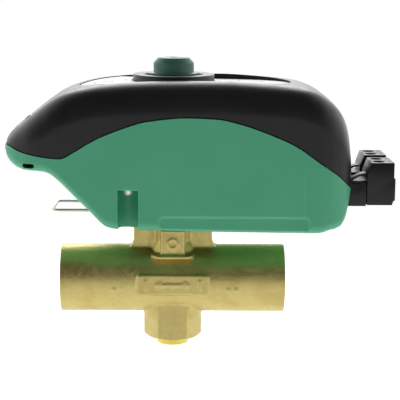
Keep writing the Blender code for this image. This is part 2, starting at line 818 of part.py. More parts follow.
def badge_outline(grow):
    """The blank inset on the nose, seen from above."""
    low = (BADGE_X - BADGE_LENGTH / 2 - grow, -BADGE_HALF - grow)
    high = (BADGE_X + BADGE_LENGTH / 2 + grow, BADGE_HALF + grow)
    return rounded_rectangle(low, high, 2.4 + grow)


def make_upper_cover(material):
    """Black cover: crown, label pocket, badge pocket, collar hole and posts."""
    cover = head_solid("cover")
    cover = boolean(cover, above_seam("over", SEAM_GAP / 2), "INTERSECT")
    cover = cut(cover, cavity_solid("cavity"))
    for side in (-1, 1):
        top = along(CROWN, CHANNEL_X) - WALL - 1.0
        post_y = side * CHANNEL_Y
        post = rod("post", (CHANNEL_X, post_y, POST_BOTTOM), (CHANNEL_X, post_y, top), POST_R, 16)
        pilot = rod("pilot", (CHANNEL_X, post_y, 40.0), (CHANNEL_X, post_y, 52.0), COVER_SCREW_R + GAP, 12)
        cover = cut(join(cover, boolean(post, head_solid("clip", inset=0.8), "INTERSECT")), pilot)
    cover = cut(cover, pocket(stadium(LABEL_R + 0.4, LABEL_LEFT, LABEL_RIGHT), LABEL_POCKET))
    cover = cut(cover, pocket(badge_outline(0.35), BADGE_POCKET))
    cover = cut(cover, rod("hole", (0, 0, 70), (0, 0, 90), COLLAR_SPIGOT_R + GAP, 32))
    return finish(cut(cover, header_window()), "upper_cover", material)


def thin_plate(name, outline, top, bottom):
    """A thin plate that follows the head's top between two depths."""
    prism = extruded(name, [outline], 54.0, 95.0)
    plate = boolean(prism, head_solid("upper", inset=top), "INTERSECT")
    return cut(plate, head_solid("lower", inset=bottom))


def make_labels(material):
    """The printed plate is split in two by the collar."""
    for name, side in (("label_left", -1), ("label_right", 1)):
        outline = stadium(LABEL_R, LABEL_LEFT, LABEL_RIGHT)
        plate = thin_plate(name, outline, LABEL_INSET, LABEL_INSET + LABEL_THICK)
        plate = cut(plate, rod("gap", (0, 0, 60), (0, 0, 90), COLLAR_R + 0.5, 32))
        low, high = sorted((-side * 0.5, -side * 60.0))
        plate = cut(plate, box("half", (low, -30, 60), (high, 30, 90)))
        finish(plate, name, material)


def make_badge(material, lens_material):
    """Blank plate on the nose and the round lens in it."""
    plate = thin_plate("badge", badge_outline(0.0), BADGE_INSET, BADGE_INSET + BADGE_THICK)
    height = along(CROWN, LENS_X)
    lean = Vector((-1.0, 0.0, 1.25)).normalized()
    centre = Vector((LENS_X, 0.0, height))
    hole = rod("hole", centre - lean * 3, centre + lean * 3, LENS_R + GAP, 20)
    finish(cut(plate, hole), "badge_plate", material)
    lens = rod("lens", centre - lean * 0.45, centre + lean * 0.35, LENS_R, 20, end_radius=LENS_R - 0.7)
    finish(lens, "indicator_lens", lens_material)


def make_collar(material):
    """The raised cup that the knob stands in."""
    profile = [
        (COLLAR_R - 0.5, COLLAR_TOP), (COLLAR_R, COLLAR_TOP - 0.35), (COLLAR_R, COLLAR_SEAT),
        (COLLAR_SPIGOT_R, COLLAR_SEAT), (COLLAR_SPIGOT_R, 75.4), (SHAFT_R + GAP, 75.4),
        (SHAFT_R + GAP, 76.4), (10.4, 76.4), (11.3, COLLAR_TOP - 0.2), (11.7, COLLAR_TOP),
    ]
    finish(turned("collar", profile, sides=32), "collar_ring", material)


def make_knob(material):
    """Round knob with a flange below and a blind bore for the shaft."""
    profile = [
        (0.0, KNOB_TOP - 0.5), (1.1, KNOB_TOP - 0.4), (1.4, KNOB_TOP), (5.6, KNOB_TOP),
        (KNOB_R, KNOB_TOP - 2.1),
        (KNOB_R, KNOB_FLANGE_Z + 0.9), (KNOB_FLANGE_R, KNOB_FLANGE_Z + 0.8), (KNOB_FLANGE_R, KNOB_FLANGE_Z),
        (6.5, KNOB_FLANGE_Z), (6.5, KNOB_SKIRT_Z), (SPLINE_R + GAP, KNOB_SKIRT_Z),
        (SPLINE_R + GAP, SPLINE_TOP + 1.6), (0.0, SPLINE_TOP + 1.6),
    ]
    finish(turned("knob", profile, sides=28), "knob", material)


def make_gasket(material):
    """Soft frame between the neck and the casing's floor."""
    inner = rounded_rectangle((-NECK_HOLE_X, -NECK_HOLE_Y), (NECK_HOLE_X, NECK_HOLE_Y), NECK_HOLE_R)
    x, y = NECK_HOLE_X + GASKET_MARGIN, NECK_HOLE_Y + GASKET_MARGIN - 0.5
    outer = rounded_rectangle((-x, -y), (x, y), NECK_HOLE_R + 1.0)
    finish(extruded("gasket", [outer, inner], GASKET_LOW, GASKET_HIGH), "neck_gasket", material)


def make_clip(material):
    """U of spring wire that locks the head on the neck."""
    route = [(CLIP_IN, -CLIP_HALF)]
    for corner, start in ((-1, 1.5), (1, 1.0)):
        centre = (CLIP_OUT + CLIP_BEND, corner * (CLIP_HALF - CLIP_BEND))
        for i in range(4):
            a = math.pi * (start - i / 6)
            route.append((centre[0] + CLIP_BEND * math.cos(a), centre[1] + CLIP_BEND * math.sin(a)))
    route.append((CLIP_IN, CLIP_HALF))
    curve = bpy.data.curves.new("clip", "CURVE")
    curve.dimensions = "3D"
    curve.bevel_depth = WIRE_R * MM
    curve.bevel_resolution = 2
    curve.use_fill_caps = True
    spline = curve.splines.new("POLY")
    spline.points.add(len(route) - 1)
    for point, (x, y) in zip(spline.points, route):
        point.co = (x * MM, y * MM, CLIP_Z * MM, 1.0)
    finish(bake(link("clip", curve)), "wire_clip", material)


# ---------------------------------------------------------------- gear train


def pitch_radius(teeth):
    """Pitch radius from a tooth count."""
    return MODULE * teeth / 2


def gear_outline(teeth, centre, phase):
    """Trapezoid teeth with generous backlash, as points round the centre."""
    pitch = pitch_radius(teeth)
    tip, root = pitch + 0.62 * MODULE, pitch - 1.0 * MODULE
    tooth = math.tau / teeth
    points = []
    for i in range(teeth):
        middle = phase + tooth * i
        for radius, share in ((root, -0.30), (tip, -0.10), (tip, 0.10), (root, 0.30)):
            a = middle + tooth * share
            points.append((centre[0] + radius * math.cos(a), centre[1] + radius * math.sin(a)))
    return points


def meet(first, first_radius, second, second_radius):
    """The point at given distances from two others, on the nose side."""
    a, b = Vector(first), Vector(second)
    run = b - a
    length = run.length
    share = (first_radius ** 2 - second_radius ** 2 + length ** 2) / (2 * length)
    rise = math.sqrt(first_radius ** 2 - share ** 2)
    across = Vector((-run.y, run.x)).normalized()
    spots = [a + run.normalized() * share + across * rise * side for side in (-1, 1)]
    return min(spots, key=lambda spot: spot.x)


def gear_places():
    """Centres of the second wheel, the first wheel and the motor."""
    reach = pitch_radius(OUTPUT_TEETH) + pitch_radius(SECOND_PINION_TEETH)
    second = Vector((-math.sqrt(reach ** 2 - SECOND_Y ** 2), SECOND_Y))
    motor = Vector((MOTOR_X, MOTOR_Y))
    step = pitch_radius(WHEEL_TEETH) + pitch_radius(PINION_TEETH)
    return second, meet(second, step, motor, step), motor


def meshing_phase(driver, driver_teeth, driver_phase, driven, teeth):
    """Phase that puts a gap of the driven gear at a tooth of the driver."""
    run = Vector(driven) - Vector(driver)
    towards = math.atan2(run.y, run.x)
    tooth = math.tau / driver_teeth
    offset = ((towards - driver_phase) / tooth) % 1.0
    back = towards + math.pi
    return back + math.tau / teeth * (offset + 0.5)


def compound(name, centre, wheel, pinion, bore, material):
    """A wheel and a pinion on one hub; each is (teeth, phase, low, high)."""
    layers = []
    for teeth, phase, low, high in (wheel, pinion):
        loops = [gear_outline(teeth, centre, phase), circle(bore, 10, centre)]
        layers.append(extruded(name, loops, low, high))
    obj = join(*layers)
    return finish(obj, name, material, (*centre, 0.0))


def make_gears(plastic, steel, brass):
    """Output gear, two compound wheels, motor pinion, and their axles."""
    second, first, motor = gear_places()
    output_phase = math.atan2(second.y, second.x)
    second_phase = meshing_phase((0, 0), OUTPUT_TEETH, output_phase, second, SECOND_PINION_TEETH)
    second_wheel_phase = 0.0
    first_phase = meshing_phase(second, WHEEL_TEETH, second_wheel_phase, first, PINION_TEETH)
    motor_phase = meshing_phase(first, WHEEL_TEETH, 0.0, motor, PINION_TEETH)
    outline = gear_outline(OUTPUT_TEETH, (0, 0), output_phase)
    output = extruded("output", [outline, circle(SHAFT_R + GAP, 16)], OUTPUT_LOW, OUTPUT_HIGH)
    finish(output, "output_gear", plastic)
    compound(
        "second_wheel", second,
        (WHEEL_TEETH, second_wheel_phase, SECOND_WHEEL_LOW, SECOND_WHEEL_LOW + WHEEL_THICK),
        (SECOND_PINION_TEETH, second_phase, OUTPUT_LOW - GAP, SECOND_WHEEL_LOW + 0.1), AXLE_R + GAP, plastic,
    )
    compound(
        "first_wheel", first, (WHEEL_TEETH, 0.0, FIRST_WHEEL_LOW, FIRST_WHEEL_LOW + WHEEL_THICK),
        (PINION_TEETH, first_phase, SECOND_WHEEL_LOW - GAP, FIRST_WHEEL_LOW + 0.1), AXLE_R + GAP, plastic,
    )
    for name, place in (("second_axle", second), ("first_axle", first)):
        axle = rod(name, (*place, LOWER_PLATE_Z - 1.0), (*place, UPPER_PLATE_Z + 2.0), AXLE_R, 14)
        finish(axle, name, steel)
    loops = [gear_outline(PINION_TEETH, motor, motor_phase), circle(1.0, 12, motor)]
    pinion = extruded("pinion", loops, MOTOR_PINION_LOW, MOTOR_PINION_HIGH)
    finish(pinion, "motor_pinion", brass, (*motor, 0.0))
    shaft = rod("shaft", (*motor, MOTOR_PINION_LOW - GAP), (*motor, 57.0), 0.7, 12)
    finish(shaft, "motor_shaft", steel, (*motor, 0.0))


def make_motor(steel):
    """The motor's can, standing on the upper plate with its shaft down."""
    x, y = MOTOR_X, MOTOR_Y
    base = UPPER_PLATE_Z + PLATE_THICK + GAP
    profile = [
        (1.1, base), (1.1, base + 3.6), (0.0, base + 3.6), (0.0, MOTOR_TOP + 0.9), (3.2, MOTOR_TOP + 0.9),
        (3.2, MOTOR_TOP), (MOTOR_R - 1.0, MOTOR_TOP), (MOTOR_R, MOTOR_TOP - 1.0), (MOTOR_R, base),
    ]
    start = profile.index((0.0, MOTOR_TOP + 0.9))
    outline = profile[start:] + profile[:start]
    finish(turned("motor", outline, sides=24, centre=(x, y)), "motor_can", steel)


def make_gear_frame(steel):
    """Two plates, the four pillars between them and the shaft's two bushes."""
    second, first, motor = gear_places()
    outline = [
        (-34.6, -12.0), (-30.0, -17.0), (-9.0, -17.0), (-9.0, -25.2), (18.6, -25.2), (18.6, 25.2),
        (-9.0, 25.2), (-9.0, 17.0), (-30.0, 17.0), (-34.6, 12.0),
    ]
    upper_outline = [
        (-38.0, -12.0), (-33.0, -19.0), (-9.0, -19.0), (-9.0, -25.2), (18.6, -25.2), (18.6, 25.2),
        (-9.0, 25.2), (-9.0, 20.6), (-33.0, 20.6), (-38.0, 14.0),
    ]
    holes = [circle(BUSH_R + 0.1 + GAP, 18)]
    holes += [circle(AXLE_R + 0.2, 10, place) for place in (second, first)]
    pins = [circle(1.7, 10, place) for place in PILLARS]
    lower = extruded("plate", [outline, *holes, *pins], LOWER_PLATE_Z, LOWER_PLATE_Z + PLATE_THICK)
    finish(lower, "lower_gear_plate", steel)
    loops = [upper_outline, *holes, *pins, circle(3.0, 16, motor)]
    upper = extruded("plate", loops, UPPER_PLATE_Z, UPPER_PLATE_Z + PLATE_THICK)
    finish(upper, "upper_gear_plate", steel)
    for number, place in enumerate(PILLARS, start=1):
        shoulder = LOWER_PLATE_Z - GAP
        seat = LOWER_PLATE_Z + PLATE_THICK + GAP
        rest = UPPER_PLATE_Z - GAP
        profile = [
            (0.0, rest + PLATE_THICK + 1.2), (PILLAR_PIN_R, rest + PLATE_THICK + 1.2), (PILLAR_PIN_R, rest),
            (PILLAR_R, rest), (PILLAR_R, seat), (PILLAR_PIN_R, seat), (PILLAR_PIN_R, shoulder),
            (PILLAR_R, shoulder), (PILLAR_R, PILLAR_BOTTOM), (0.0, PILLAR_BOTTOM),
        ]
        pillar = turned("pillar", profile, sides=10, centre=place)
        finish(pillar, f"gear_pillar_{number}", steel)


def make_shaft(steel, bush_material, plastic):
    """Drive shaft with a slot for the stem, its bushes and the switch cam."""
    profile = [
        (0.0, SPLINE_TOP), (SPLINE_R, SPLINE_TOP), (SPLINE_R, 75.0), (SHAFT_R, 75.0),
        (SHAFT_R, SHAFT_BOTTOM), (0.0, SHAFT_BOTTOM),
    ]
    shaft = turned("shaft", profile, sides=20)
    slot = box("slot", (-3.6, -TANG_HALF - GAP, 25.0), (3.6, TANG_HALF + GAP, STEM_TOP + GAP))
    socket = rod("socket", (0, 0, 25.0), (0, 0, TANG_Z + GAP), STEM_R + GAP, 24)
    finish(cut(shaft, slot, socket), "drive_shaft", steel)
    for name, low in (("lower_bush", LOWER_PLATE_Z), ("upper_bush", UPPER_PLATE_Z)):
        lip = low + PLATE_THICK + GAP
        ring = [
            (BUSH_R, low - 0.6), (SHAFT_R + GAP, low - 0.6), (SHAFT_R + GAP, lip + 0.9),
            (BUSH_LIP_R, lip + 0.9), (BUSH_LIP_R, lip), (BUSH_R, lip),
        ]
        finish(turned(name, ring, sides=18), name, bush_material)
    points = []
    for i in range(36):
        degrees = i * 10.0
        behind = (-90.0 - degrees) % 360.0
        fall = behind / 90.0 if behind <= 90.0 else (360.0 - behind) / 270.0
        radius = CAM_R - CAM_FALL * fall
        points.append((radius * math.cos(math.radians(degrees)), radius * math.sin(math.radians(degrees))))
    cam = extruded("cam", [points, circle(SHAFT_R + GAP, 16)], CAM_LOW, CAM_HIGH)
    finish(cam, "switch_cam", plastic)


def make_end_switch(plastic, steel):
    """Small switch beside the cam, and the lever that rides on the cam."""
    base = UPPER_PLATE_Z + PLATE_THICK + GAP
    body = box("switch", (-13.0, -17.4, base), (5.0, LEVER_Y - 1.6, 61.2))
    finish(bevel(body, 0.4, 1), "end_switch", plastic)
    lever = box("lever", (-12.2, LEVER_Y - 0.3, 56.8), (3.2, LEVER_Y + 0.3, 58.8))
    pivot = rod("pivot", (LEVER_PIVOT_X, LEVER_Y, 56.2), (LEVER_PIVOT_X, LEVER_Y, 59.6), 0.8, 12)
    finish(join(lever, pivot), "switch_lever", steel, (LEVER_PIVOT_X, LEVER_Y, 0.0))


# ---------------------------------------------------------------- electronics


def make_electronics(board_material, can_material, black, lamp, steel):
    """Circuit board with its parts, and the small lamp board in the nose."""
    outline = rounded_rectangle((BOARD_LEFT, -BOARD_HALF), (BOARD_RIGHT, BOARD_HALF), BOARD_CORNER, 3)
    holes = [circle(1.5, 12, place) for place in BOARD_HOLES]
    board = extruded("board", [outline, *holes], BOARD_Z, BOARD_Z + BOARD_THICK)
    finish(board, "circuit_board", board_material)
    top = BOARD_Z + BOARD_THICK + GAP
    for number, (x, y) in enumerate(BOARD_HOLES, start=1):
        profile = [(0.0, top + 1.5), (2.2, top + 1.1), (2.4, top), (0.85, top), (0.85, 27.7), (0.0, 27.7)]
        screw = turned("screw", profile, sides=14, centre=(x, y))
        finish(screw, f"board_screw_{number}", steel)
    for name, side in (("supercapacitor_front", -1), ("supercapacitor_back", 1)):
        y, z = side * CAPACITOR_Y, top + CAPACITOR_R + 0.1
        can = rod(name, (CAPACITOR_LEFT, y, z), (CAPACITOR_RIGHT, y, z), CAPACITOR_R, 20)
        finish(bevel(can, 0.7, 1), name, can_material)
    relay = box("relay", (RELAY_LEFT, -RELAY_HALF, top), (RELAY_RIGHT, RELAY_HALF, top + RELAY_HEIGHT))
    finish(bevel(relay, 0.6, 1), "relay", black)
    lamp_board = box("lamp_board", (-52.4, -5.0, 53.0), (-46.0, 5.0, 54.2))
    finish(lamp_board, "lamp_board", board_material)
    profile = [
        (0.0, LAMP_TOP), (LAMP_R - 0.5, LAMP_TOP - 0.4), (LAMP_R, LAMP_TOP - 1.3), (LAMP_R, LAMP_BOTTOM),
        (0.0, LAMP_BOTTOM),
    ]
    finish(turned("lamp", profile, sides=16, centre=(LAMP_X, 0.0)), "status_lamp", lamp)


def make_header(material):
    """Fixed half of the terminals, with two pin recesses."""
    profile = [
        (HEADER_LEFT, HEADER_BOTTOM), (HEADER_RIGHT, HEADER_BOTTOM), (HEADER_RIGHT, HEADER_TOP),
        (70.0, HEADER_TOP - 0.5), (67.6, HEADER_TOP - 1.6), (HEADER_LEFT, HEADER_TOP - 1.9),
    ]
    header = extruded("header", [profile], -HEADER_HALF, HEADER_HALF, axis="Y")
    for side in (-1, 1):
        ends = (side * (PLUG_NEAR + RECESS_MARGIN), side * (PLUG_NEAR + PLUG_WIDTH - RECESS_MARGIN))
        low, high = sorted(ends)
        header = cut(header, box("recess", (66.5, low, 34.6), (80.0, high, 41.6)))
    finish(header, "terminal_header", material)


def plug_profile():
    """Side view of a plug: sloping inner top edge and a foot on its right."""
    return [
        (PLUG_LEFT, PLUG_LOW), (PLUG_RIGHT - 0.6, PLUG_LOW), (PLUG_RIGHT, PLUG_LOW + 1.7),
        (PLUG_RIGHT + 0.5, PLUG_LOW + 1.7), (PLUG_RIGHT + 0.5, 42.2), (PLUG_RIGHT, 42.2),
        (PLUG_RIGHT, PLUG_HIGH), (74.1, PLUG_HIGH), (PLUG_LEFT, 43.6),
    ]


def pole_places(side):
    """The two poles of a plug, from the front to the back."""
    middle = side * (PLUG_NEAR + PLUG_WIDTH / 2)
    return sorted((middle - POLE_PITCH / 2, middle + POLE_PITCH / 2))


def make_plugs(material, steel):
    """Pull-off plugs with wire entries, clamp screws and probe holes."""
    number = 0
    for name, side in (("plug_front", -1), ("plug_back", 1)):
        low, high = sorted((side * PLUG_NEAR, side * (PLUG_NEAR + PLUG_WIDTH)))
        plug = extruded(name, [plug_profile()], low, high, axis="Y")
        first, second = (67.0, low + TONGUE_MARGIN, 35.1), (PLUG_LEFT + 1.0, high - TONGUE_MARGIN, 41.1)
        tongue = box("tongue", first, second)
        plug = join(plug, tongue)
        for y in pole_places(side):
            entry = box("entry", (ENTRY_LEFT, y - ENTRY_HALF, ENTRY_LOW), (90.0, y + ENTRY_HALF, ENTRY_HIGH))
            floor, mouth = (CLAMP_SCREW_X, y, CLAMP_WELL_Z), (CLAMP_SCREW_X, y, 50.0)
            well = rod("well", floor, mouth, CLAMP_WELL_R, 20)
            probe = rod("probe", (PROBE_X, y, 45.0), (PROBE_X, y, 50.0), 0.6, 8)
            plug = cut(plug, entry, well, probe)
        finish(plug, name, material)
        for y in pole_places(side):
            number += 1
            foot = (CLAMP_SCREW_X, y, CLAMP_WELL_Z + GAP)
            head = rod("head", foot, (CLAMP_SCREW_X, y, CLAMP_SCREW_TOP), CLAMP_SCREW_R, 20)
            floor = CLAMP_SCREW_TOP - 0.8
            slot = box("slot", (CLAMP_SCREW_X - 3, y - 0.3, floor), (CLAMP_SCREW_X + 3, y + 0.3, floor + 3))
            finish(cut(head, slot), f"terminal_screw_{number}", steel)


def make_cover_screws(steel):
    """Two long screws that hold the cover, one in each channel."""
    for name, side in (("cover_screw_front", -1), ("cover_screw_back", 1)):
        profile = [
            (0.0, SCREW_TIP), (COVER_SCREW_R, SCREW_TIP - 0.9), (COVER_SCREW_R, CHANNEL_TOP - GAP),
            (SCREW_HEAD_R, CHANNEL_TOP - GAP), (SCREW_HEAD_R, CHANNEL_TOP - 2.1),
            (SCREW_HEAD_R - 0.6, CHANNEL_TOP - 2.5), (0.0, CHANNEL_TOP - 2.5),
        ]
        screw = turned("screw", profile, sides=18, centre=(CHANNEL_X, side * CHANNEL_Y))
        finish(screw, name, steel)


def main():
    """Build every piece of the valve."""
    clear_scene()
    brass = make_material("blasted_brass", BRASS, 0.45, 1.0)
    bright_brass = make_material("bright_brass", (0.80, 0.66, 0.20), 0.25, 1.0)
    steel = make_material("steel", (0.62, 0.62, 0.60), 0.3, 1.0)
    wire = make_material("spring_wire", (0.55, 0.54, 0.50), 0.35, 1.0)
    green = make_material("green_plastic", GREEN, 0.5)
    knob_green = make_material("dark_green_plastic", (0.03, 0.13, 0.09), 0.45)
    black = make_material("black_plastic", BLACK, 0.4)
    rubber = make_material("rubber", (0.02, 0.02, 0.02), 0.8)
    white = make_material("white_plastic", (0.8, 0.79, 0.76), 0.5)
    nylon = make_material("nylon", (0.75, 0.72, 0.62), 0.5)
    board = make_material("circuit_board", (0.02, 0.15, 0.06), 0.5)
    sleeve = make_material("capacitor_sleeve", (0.02, 0.03, 0.10), 0.4)
    lens = make_material("smoked_lens", (0.05, 0.03, 0.03), 0.1)
    lamp = make_material("lamp_resin", (0.6, 0.7, 0.6), 0.2)
    make_valve_body(brass)
    make_bottom_plug(bright_brass, rubber)
    make_ball(steel)
    make_seats(white, brass)
    make_stem(steel, rubber, brass)
    make_gasket(rubber)
    make_lower_casing(green)
    make_upper_cover(black)
    make_labels(white)
    make_badge(black, lens)
    make_collar(black)
    make_knob(knob_green)
    make_clip(wire)
    make_gears(nylon, steel, brass)
    make_motor(steel)
    make_gear_frame(steel)
    make_shaft(steel, brass, nylon)
    make_end_switch(black, steel)
    make_electronics(board, sleeve, black, lamp, steel)
    make_header(black)
    make_plugs(black, steel)
    make_cover_screws(steel)


main()
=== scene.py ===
"""Looks of a motorised zone valve: fine surfaces, materials, light and camera.

Lengths are in millimetres and MM turns them into metres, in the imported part's
own frame: origin where the pipe's axis meets the stem's axis, X along the
pipe, Y from the front of the head to its back, Z up to the knob.
"""

import json
import math

import bmesh
import bpy
from mathutils import Matrix, Vector


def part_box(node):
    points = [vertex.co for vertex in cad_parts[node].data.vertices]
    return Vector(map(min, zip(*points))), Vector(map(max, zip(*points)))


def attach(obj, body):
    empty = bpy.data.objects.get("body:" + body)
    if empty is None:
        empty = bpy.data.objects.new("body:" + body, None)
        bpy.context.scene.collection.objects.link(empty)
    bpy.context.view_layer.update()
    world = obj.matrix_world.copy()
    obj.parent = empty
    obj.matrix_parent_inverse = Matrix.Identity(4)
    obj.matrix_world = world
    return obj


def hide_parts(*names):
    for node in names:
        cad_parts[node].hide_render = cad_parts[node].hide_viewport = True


MM = 0.001

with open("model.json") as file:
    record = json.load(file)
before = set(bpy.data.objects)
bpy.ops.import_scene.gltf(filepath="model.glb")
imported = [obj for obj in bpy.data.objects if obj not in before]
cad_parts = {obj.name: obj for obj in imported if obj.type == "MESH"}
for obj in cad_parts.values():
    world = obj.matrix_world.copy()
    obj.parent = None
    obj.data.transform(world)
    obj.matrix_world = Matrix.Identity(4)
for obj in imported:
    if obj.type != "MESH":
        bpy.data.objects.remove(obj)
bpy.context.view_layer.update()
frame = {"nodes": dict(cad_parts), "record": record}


def low(node):
    """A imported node's lowest corner, in millimetres."""
    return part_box(node)[0] / MM


def high(node):
    """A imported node's highest corner, in millimetres."""
    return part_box(node)[1] / MM


# ---------------------------------------------------------------- sizes

# Brass body
TUBE_HALF = high("valve_body").x
TUBE_R = 13.1
SOCKET_R = 11.15
SOCKET_DEPTH = 19.8
WATERWAY_R = 6.6
CHAMBER_R = 9.95
CHAMBER_LEFT = -12.4
NECK_TOP = high("valve_body").z
NECK_HALF = 15.1
NECK_THICK = 8.0
NECK_FILLET = 3.8
COLUMN_R = 7.9
LEDGE_HALF = 7.9
LEDGE_FRONT = 12.5
LEDGE_CORNER = 3.0
LEDGE_LOW = 9.7
LEDGE_Z = 11.0
FLARE_R = 9.6
FLARE_BOTTOM = 11.3
FLARE_TOP = 16.0
TAB_HALF = 4.6
TAB_FRONT = 11.4
TAB_RELIEF_LOW = 20.3
TAB_RELIEF_HIGH = 25.6
TAB_RELIEF_Y = 9.4
HEX_FLATS = 19.5
HEX_BOTTOM = low("valve_body").z
HEX_CHAMFER = 2.6
HEX_CHAMFER_R = 9.3
SHOULDER_TOP = -5.0
SHOULDER_BOTTOM = -15.4
SHOULDER_R = 10.9
SHOULDER_TOP_R = 12.0
SHOULDER_HALF = 9.4
PLUG_STEM_R = 4.4
PLUG_STEM_TOP = -12.5
PAD_HALF = 13.7
PAD_LOW = -4.3
PAD_HIGH = 3.9
PAD_RAISE = 0.45
MARK_RAISE = 0.28
PIP_Z = -2.2
PIP_R = 1.2
CAST_VOXEL = 0.36

# Disc under the hexagon, ball and seats
DISC_R = 6.15
DISC_BOTTOM = low("bottom_plug").z
DISC_TOP = HEX_BOTTOM - 0.3
BALL_R = high("ball").y
PORT_R = 6.2

# Head shape: crown, underside, half width and parting line against X
HALF = high("lower_casing").y
CROWN = [
    (-62.3, 54.6), (-61.8, 56.7), (-60.0, 59.0), (-57.0, 61.4), (-49.5, 67.4),
    (-44.2, 71.3), (-39.5, 73.7), (-34.0, 75.5), (-26.0, 76.9), (-12.0, 78.0),
    (3.0, 78.4), (18.0, 78.4), (32.0, 77.7), (43.0, 76.8), (48.5, 75.9),
    (54.0, 73.8), (58.6, 70.7), (62.2, 66.8), (64.6, 62.0), (65.8, 57.0),
    (66.2, 53.0),
]
UNDERSIDE = [
    (-62.3, 52.6), (-61.8, 50.8), (-60.2, 48.3), (-57.6, 46.5), (-54.4, 45.6),
    (-50.5, 45.4), (-47.6, 45.2), (-45.2, 44.4), (-42.6, 42.5), (-36.2, 36.2),
    (-29.2, 29.2), (-26.6, 26.5), (-24.2, 24.8), (-20.5, 24.0), (0.0, 23.4),
    (46.0, 22.8), (53.5, 22.7), (57.5, 23.5), (62.0, 24.8), (64.0, 27.4),
    (65.4, 32.5), (66.2, 36.5),
]
HALF_WIDTH = [
    (-62.3, 17.5), (-61.8, 19.4), (-60.2, 22.2), (-57.0, 25.1), (-52.0, 27.6),
    (-46.0, 28.7), (-39.0, 29.0), (49.0, 29.0), (53.5, 28.7), (58.0, 27.8),
    (61.5, 26.2), (64.2, 23.9), (65.6, 21.7), (66.2, 19.8),
]
SEAM = [
    (-70.0, 57.0), (-62.3, 55.0), (-60.1, 54.4), (-56.0, 52.7), (-49.4, 51.3),
    (-43.6, 50.6), (-41.0, 50.5), (-39.6, 50.9), (-36.1, 52.9), (-27.7, 57.8),
    (-19.0, 61.4), (-9.3, 64.3), (5.3, 65.7), (15.9, 65.3), (25.6, 63.2),
    (35.3, 59.8), (45.1, 55.4), (53.7, 49.4), (61.0, 44.2), (66.2, 39.0),
    (74.0, 31.0),
]
TOP_ROUND = 10.5
TOP_ROUND_Z = 11.5
BOTTOM_ROUND = 3.6
CROWN_DROP = 0.0008
WALL = 2.0
FLOOR_WALL = 2.6
FLOOR_LEFT = -24.2
SEAM_GAP = 0.5
UNDER_HEAD = 20.0
OVER_HEAD = 95.0
PRISM_LOW = 54.0
CAVITY_LEFT = -57.0
CAVITY_RIGHT = 64.2
NOSE_FLOOR = 51.6
NOSE_RIGHT = -47.0
LABEL_WALL = 1.75
STATION_STEP = 1.0

# Details of the head
CHANNEL_X = (low("cover_screw_front").x + high("cover_screw_front").x) / 2
CHANNEL_Y = 23.9
CHANNEL_R = 3.7
CHANNEL_TOP = 38.8
CHANNEL_BOSS_R = 5.6
CHANNEL_BOSS_TOP = 41.0
PANEL_LEFT = -4.7
PANEL_RIGHT = 50.2
PANEL_TOP = 28.8
PANEL_DEPTH = 0.9
TIE_SLOT_X = -52.8
TIE_SLOT_Z = 47.4
TIE_HALF_X = 2.2
TIE_HALF_Z = 0.9
CLIP_HALF = 10.0
CLIP_Z = (low("wire_clip").z + high("wire_clip").z) / 2
WIRE_R = (high("wire_clip").z - low("wire_clip").z) / 2
CLIP_OUT = low("wire_clip").x + WIRE_R
CLIP_IN = high("wire_clip").x
CLIP_BEND = 1.8
LABEL_R = high("label_left").y + 3.2
LABEL_Z = 77.05
LABEL_FALL = 0.0175
LABEL_LEFT = low("label_left").x + LABEL_R
LABEL_RIGHT = high("label_right").x - LABEL_R
BADGE_X = -53.2
BADGE_LENGTH = 13.0
BADGE_HALF = high("badge_plate").y
LENS_X = (low("indicator_lens").x + high("indicator_lens").x) / 2
LENS_R = high("indicator_lens").y

# Collar and knob
COLLAR_R = high("collar_ring").x
COLLAR_TOP = high("collar_ring").z
COLLAR_FOOT = low("collar_ring").z
COLLAR_SEAT = 76.2
COLLAR_SPIGOT_R = 12.6
SHAFT_R = high("drive_shaft").x
KNOB_TOP = high("knob").z
KNOB_SKIRT_Z = low("knob").z
KNOB_FLANGE_R = high("knob").x
KNOB_FLANGE_Z = 79.1
KNOB_R = 7.7
SPLINE_R = 3.0
SPLINE_TOP = high("drive_shaft").z

# Terminals
HEADER_LEFT = low("terminal_header").x
HEADER_RIGHT = high("terminal_header").x
HEADER_HALF = high("terminal_header").y
HEADER_BOTTOM = low("terminal_header").z
HEADER_TOP = high("terminal_header").z
HEADER_LEDGE = 5.6
HEADER_LEDGE_Z = 40.3
HEADER_ROOF = 42.4
LUG_WIDTH = 4.4
PLUG_LEFT = 72.5
PLUG_RIGHT = 82.6
PLUG_FOOT = high("plug_front").x
PLUG_LOW = low("plug_front").z
PLUG_HIGH = high("plug_front").z
PLUG_NEAR = low("plug_back").y
PLUG_FAR = high("plug_back").y
POLE_PITCH = 7.62
CLAMP_SCREW_X = (low("terminal_screw_1").x + high("terminal_screw_1").x) / 2
SCREW_TOP = high("terminal_screw_1").z
PROBE_X = 81.0

# Camera and stage
CAMERA_TARGET = Vector((10.383, 0.0, 30.594))
CAMERA_DISTANCE = 520.0
CAMERA_ELEVATION = 9.8
CAMERA_AZIMUTH = -0.756
CAMERA_ROLL = 0.432
CAMERA_FOV = 16.943
FLOOR_DROP = 95.0
FLOOR_HALF = 4000.0
FLOOR_GLOW = 0.5
SKY_ALONG_PIPE = 0.95
SKY_LEAN = (0.0, 0.75, -1.0)
SKY_DARK = (-0.45, 0.1)
SKY_BRIGHT = (0.6, 1.5)
BACK_LIGHT_PLACE = (0.0, 460.0, 420.0)
BACK_LIGHT_AIM = (0.0, 0.0, 60.0)
BACK_LIGHT_SIZE = 420.0
BACK_LIGHT_POWER = 2.0


# ---------------------------------------------------------------- camera, light, floor


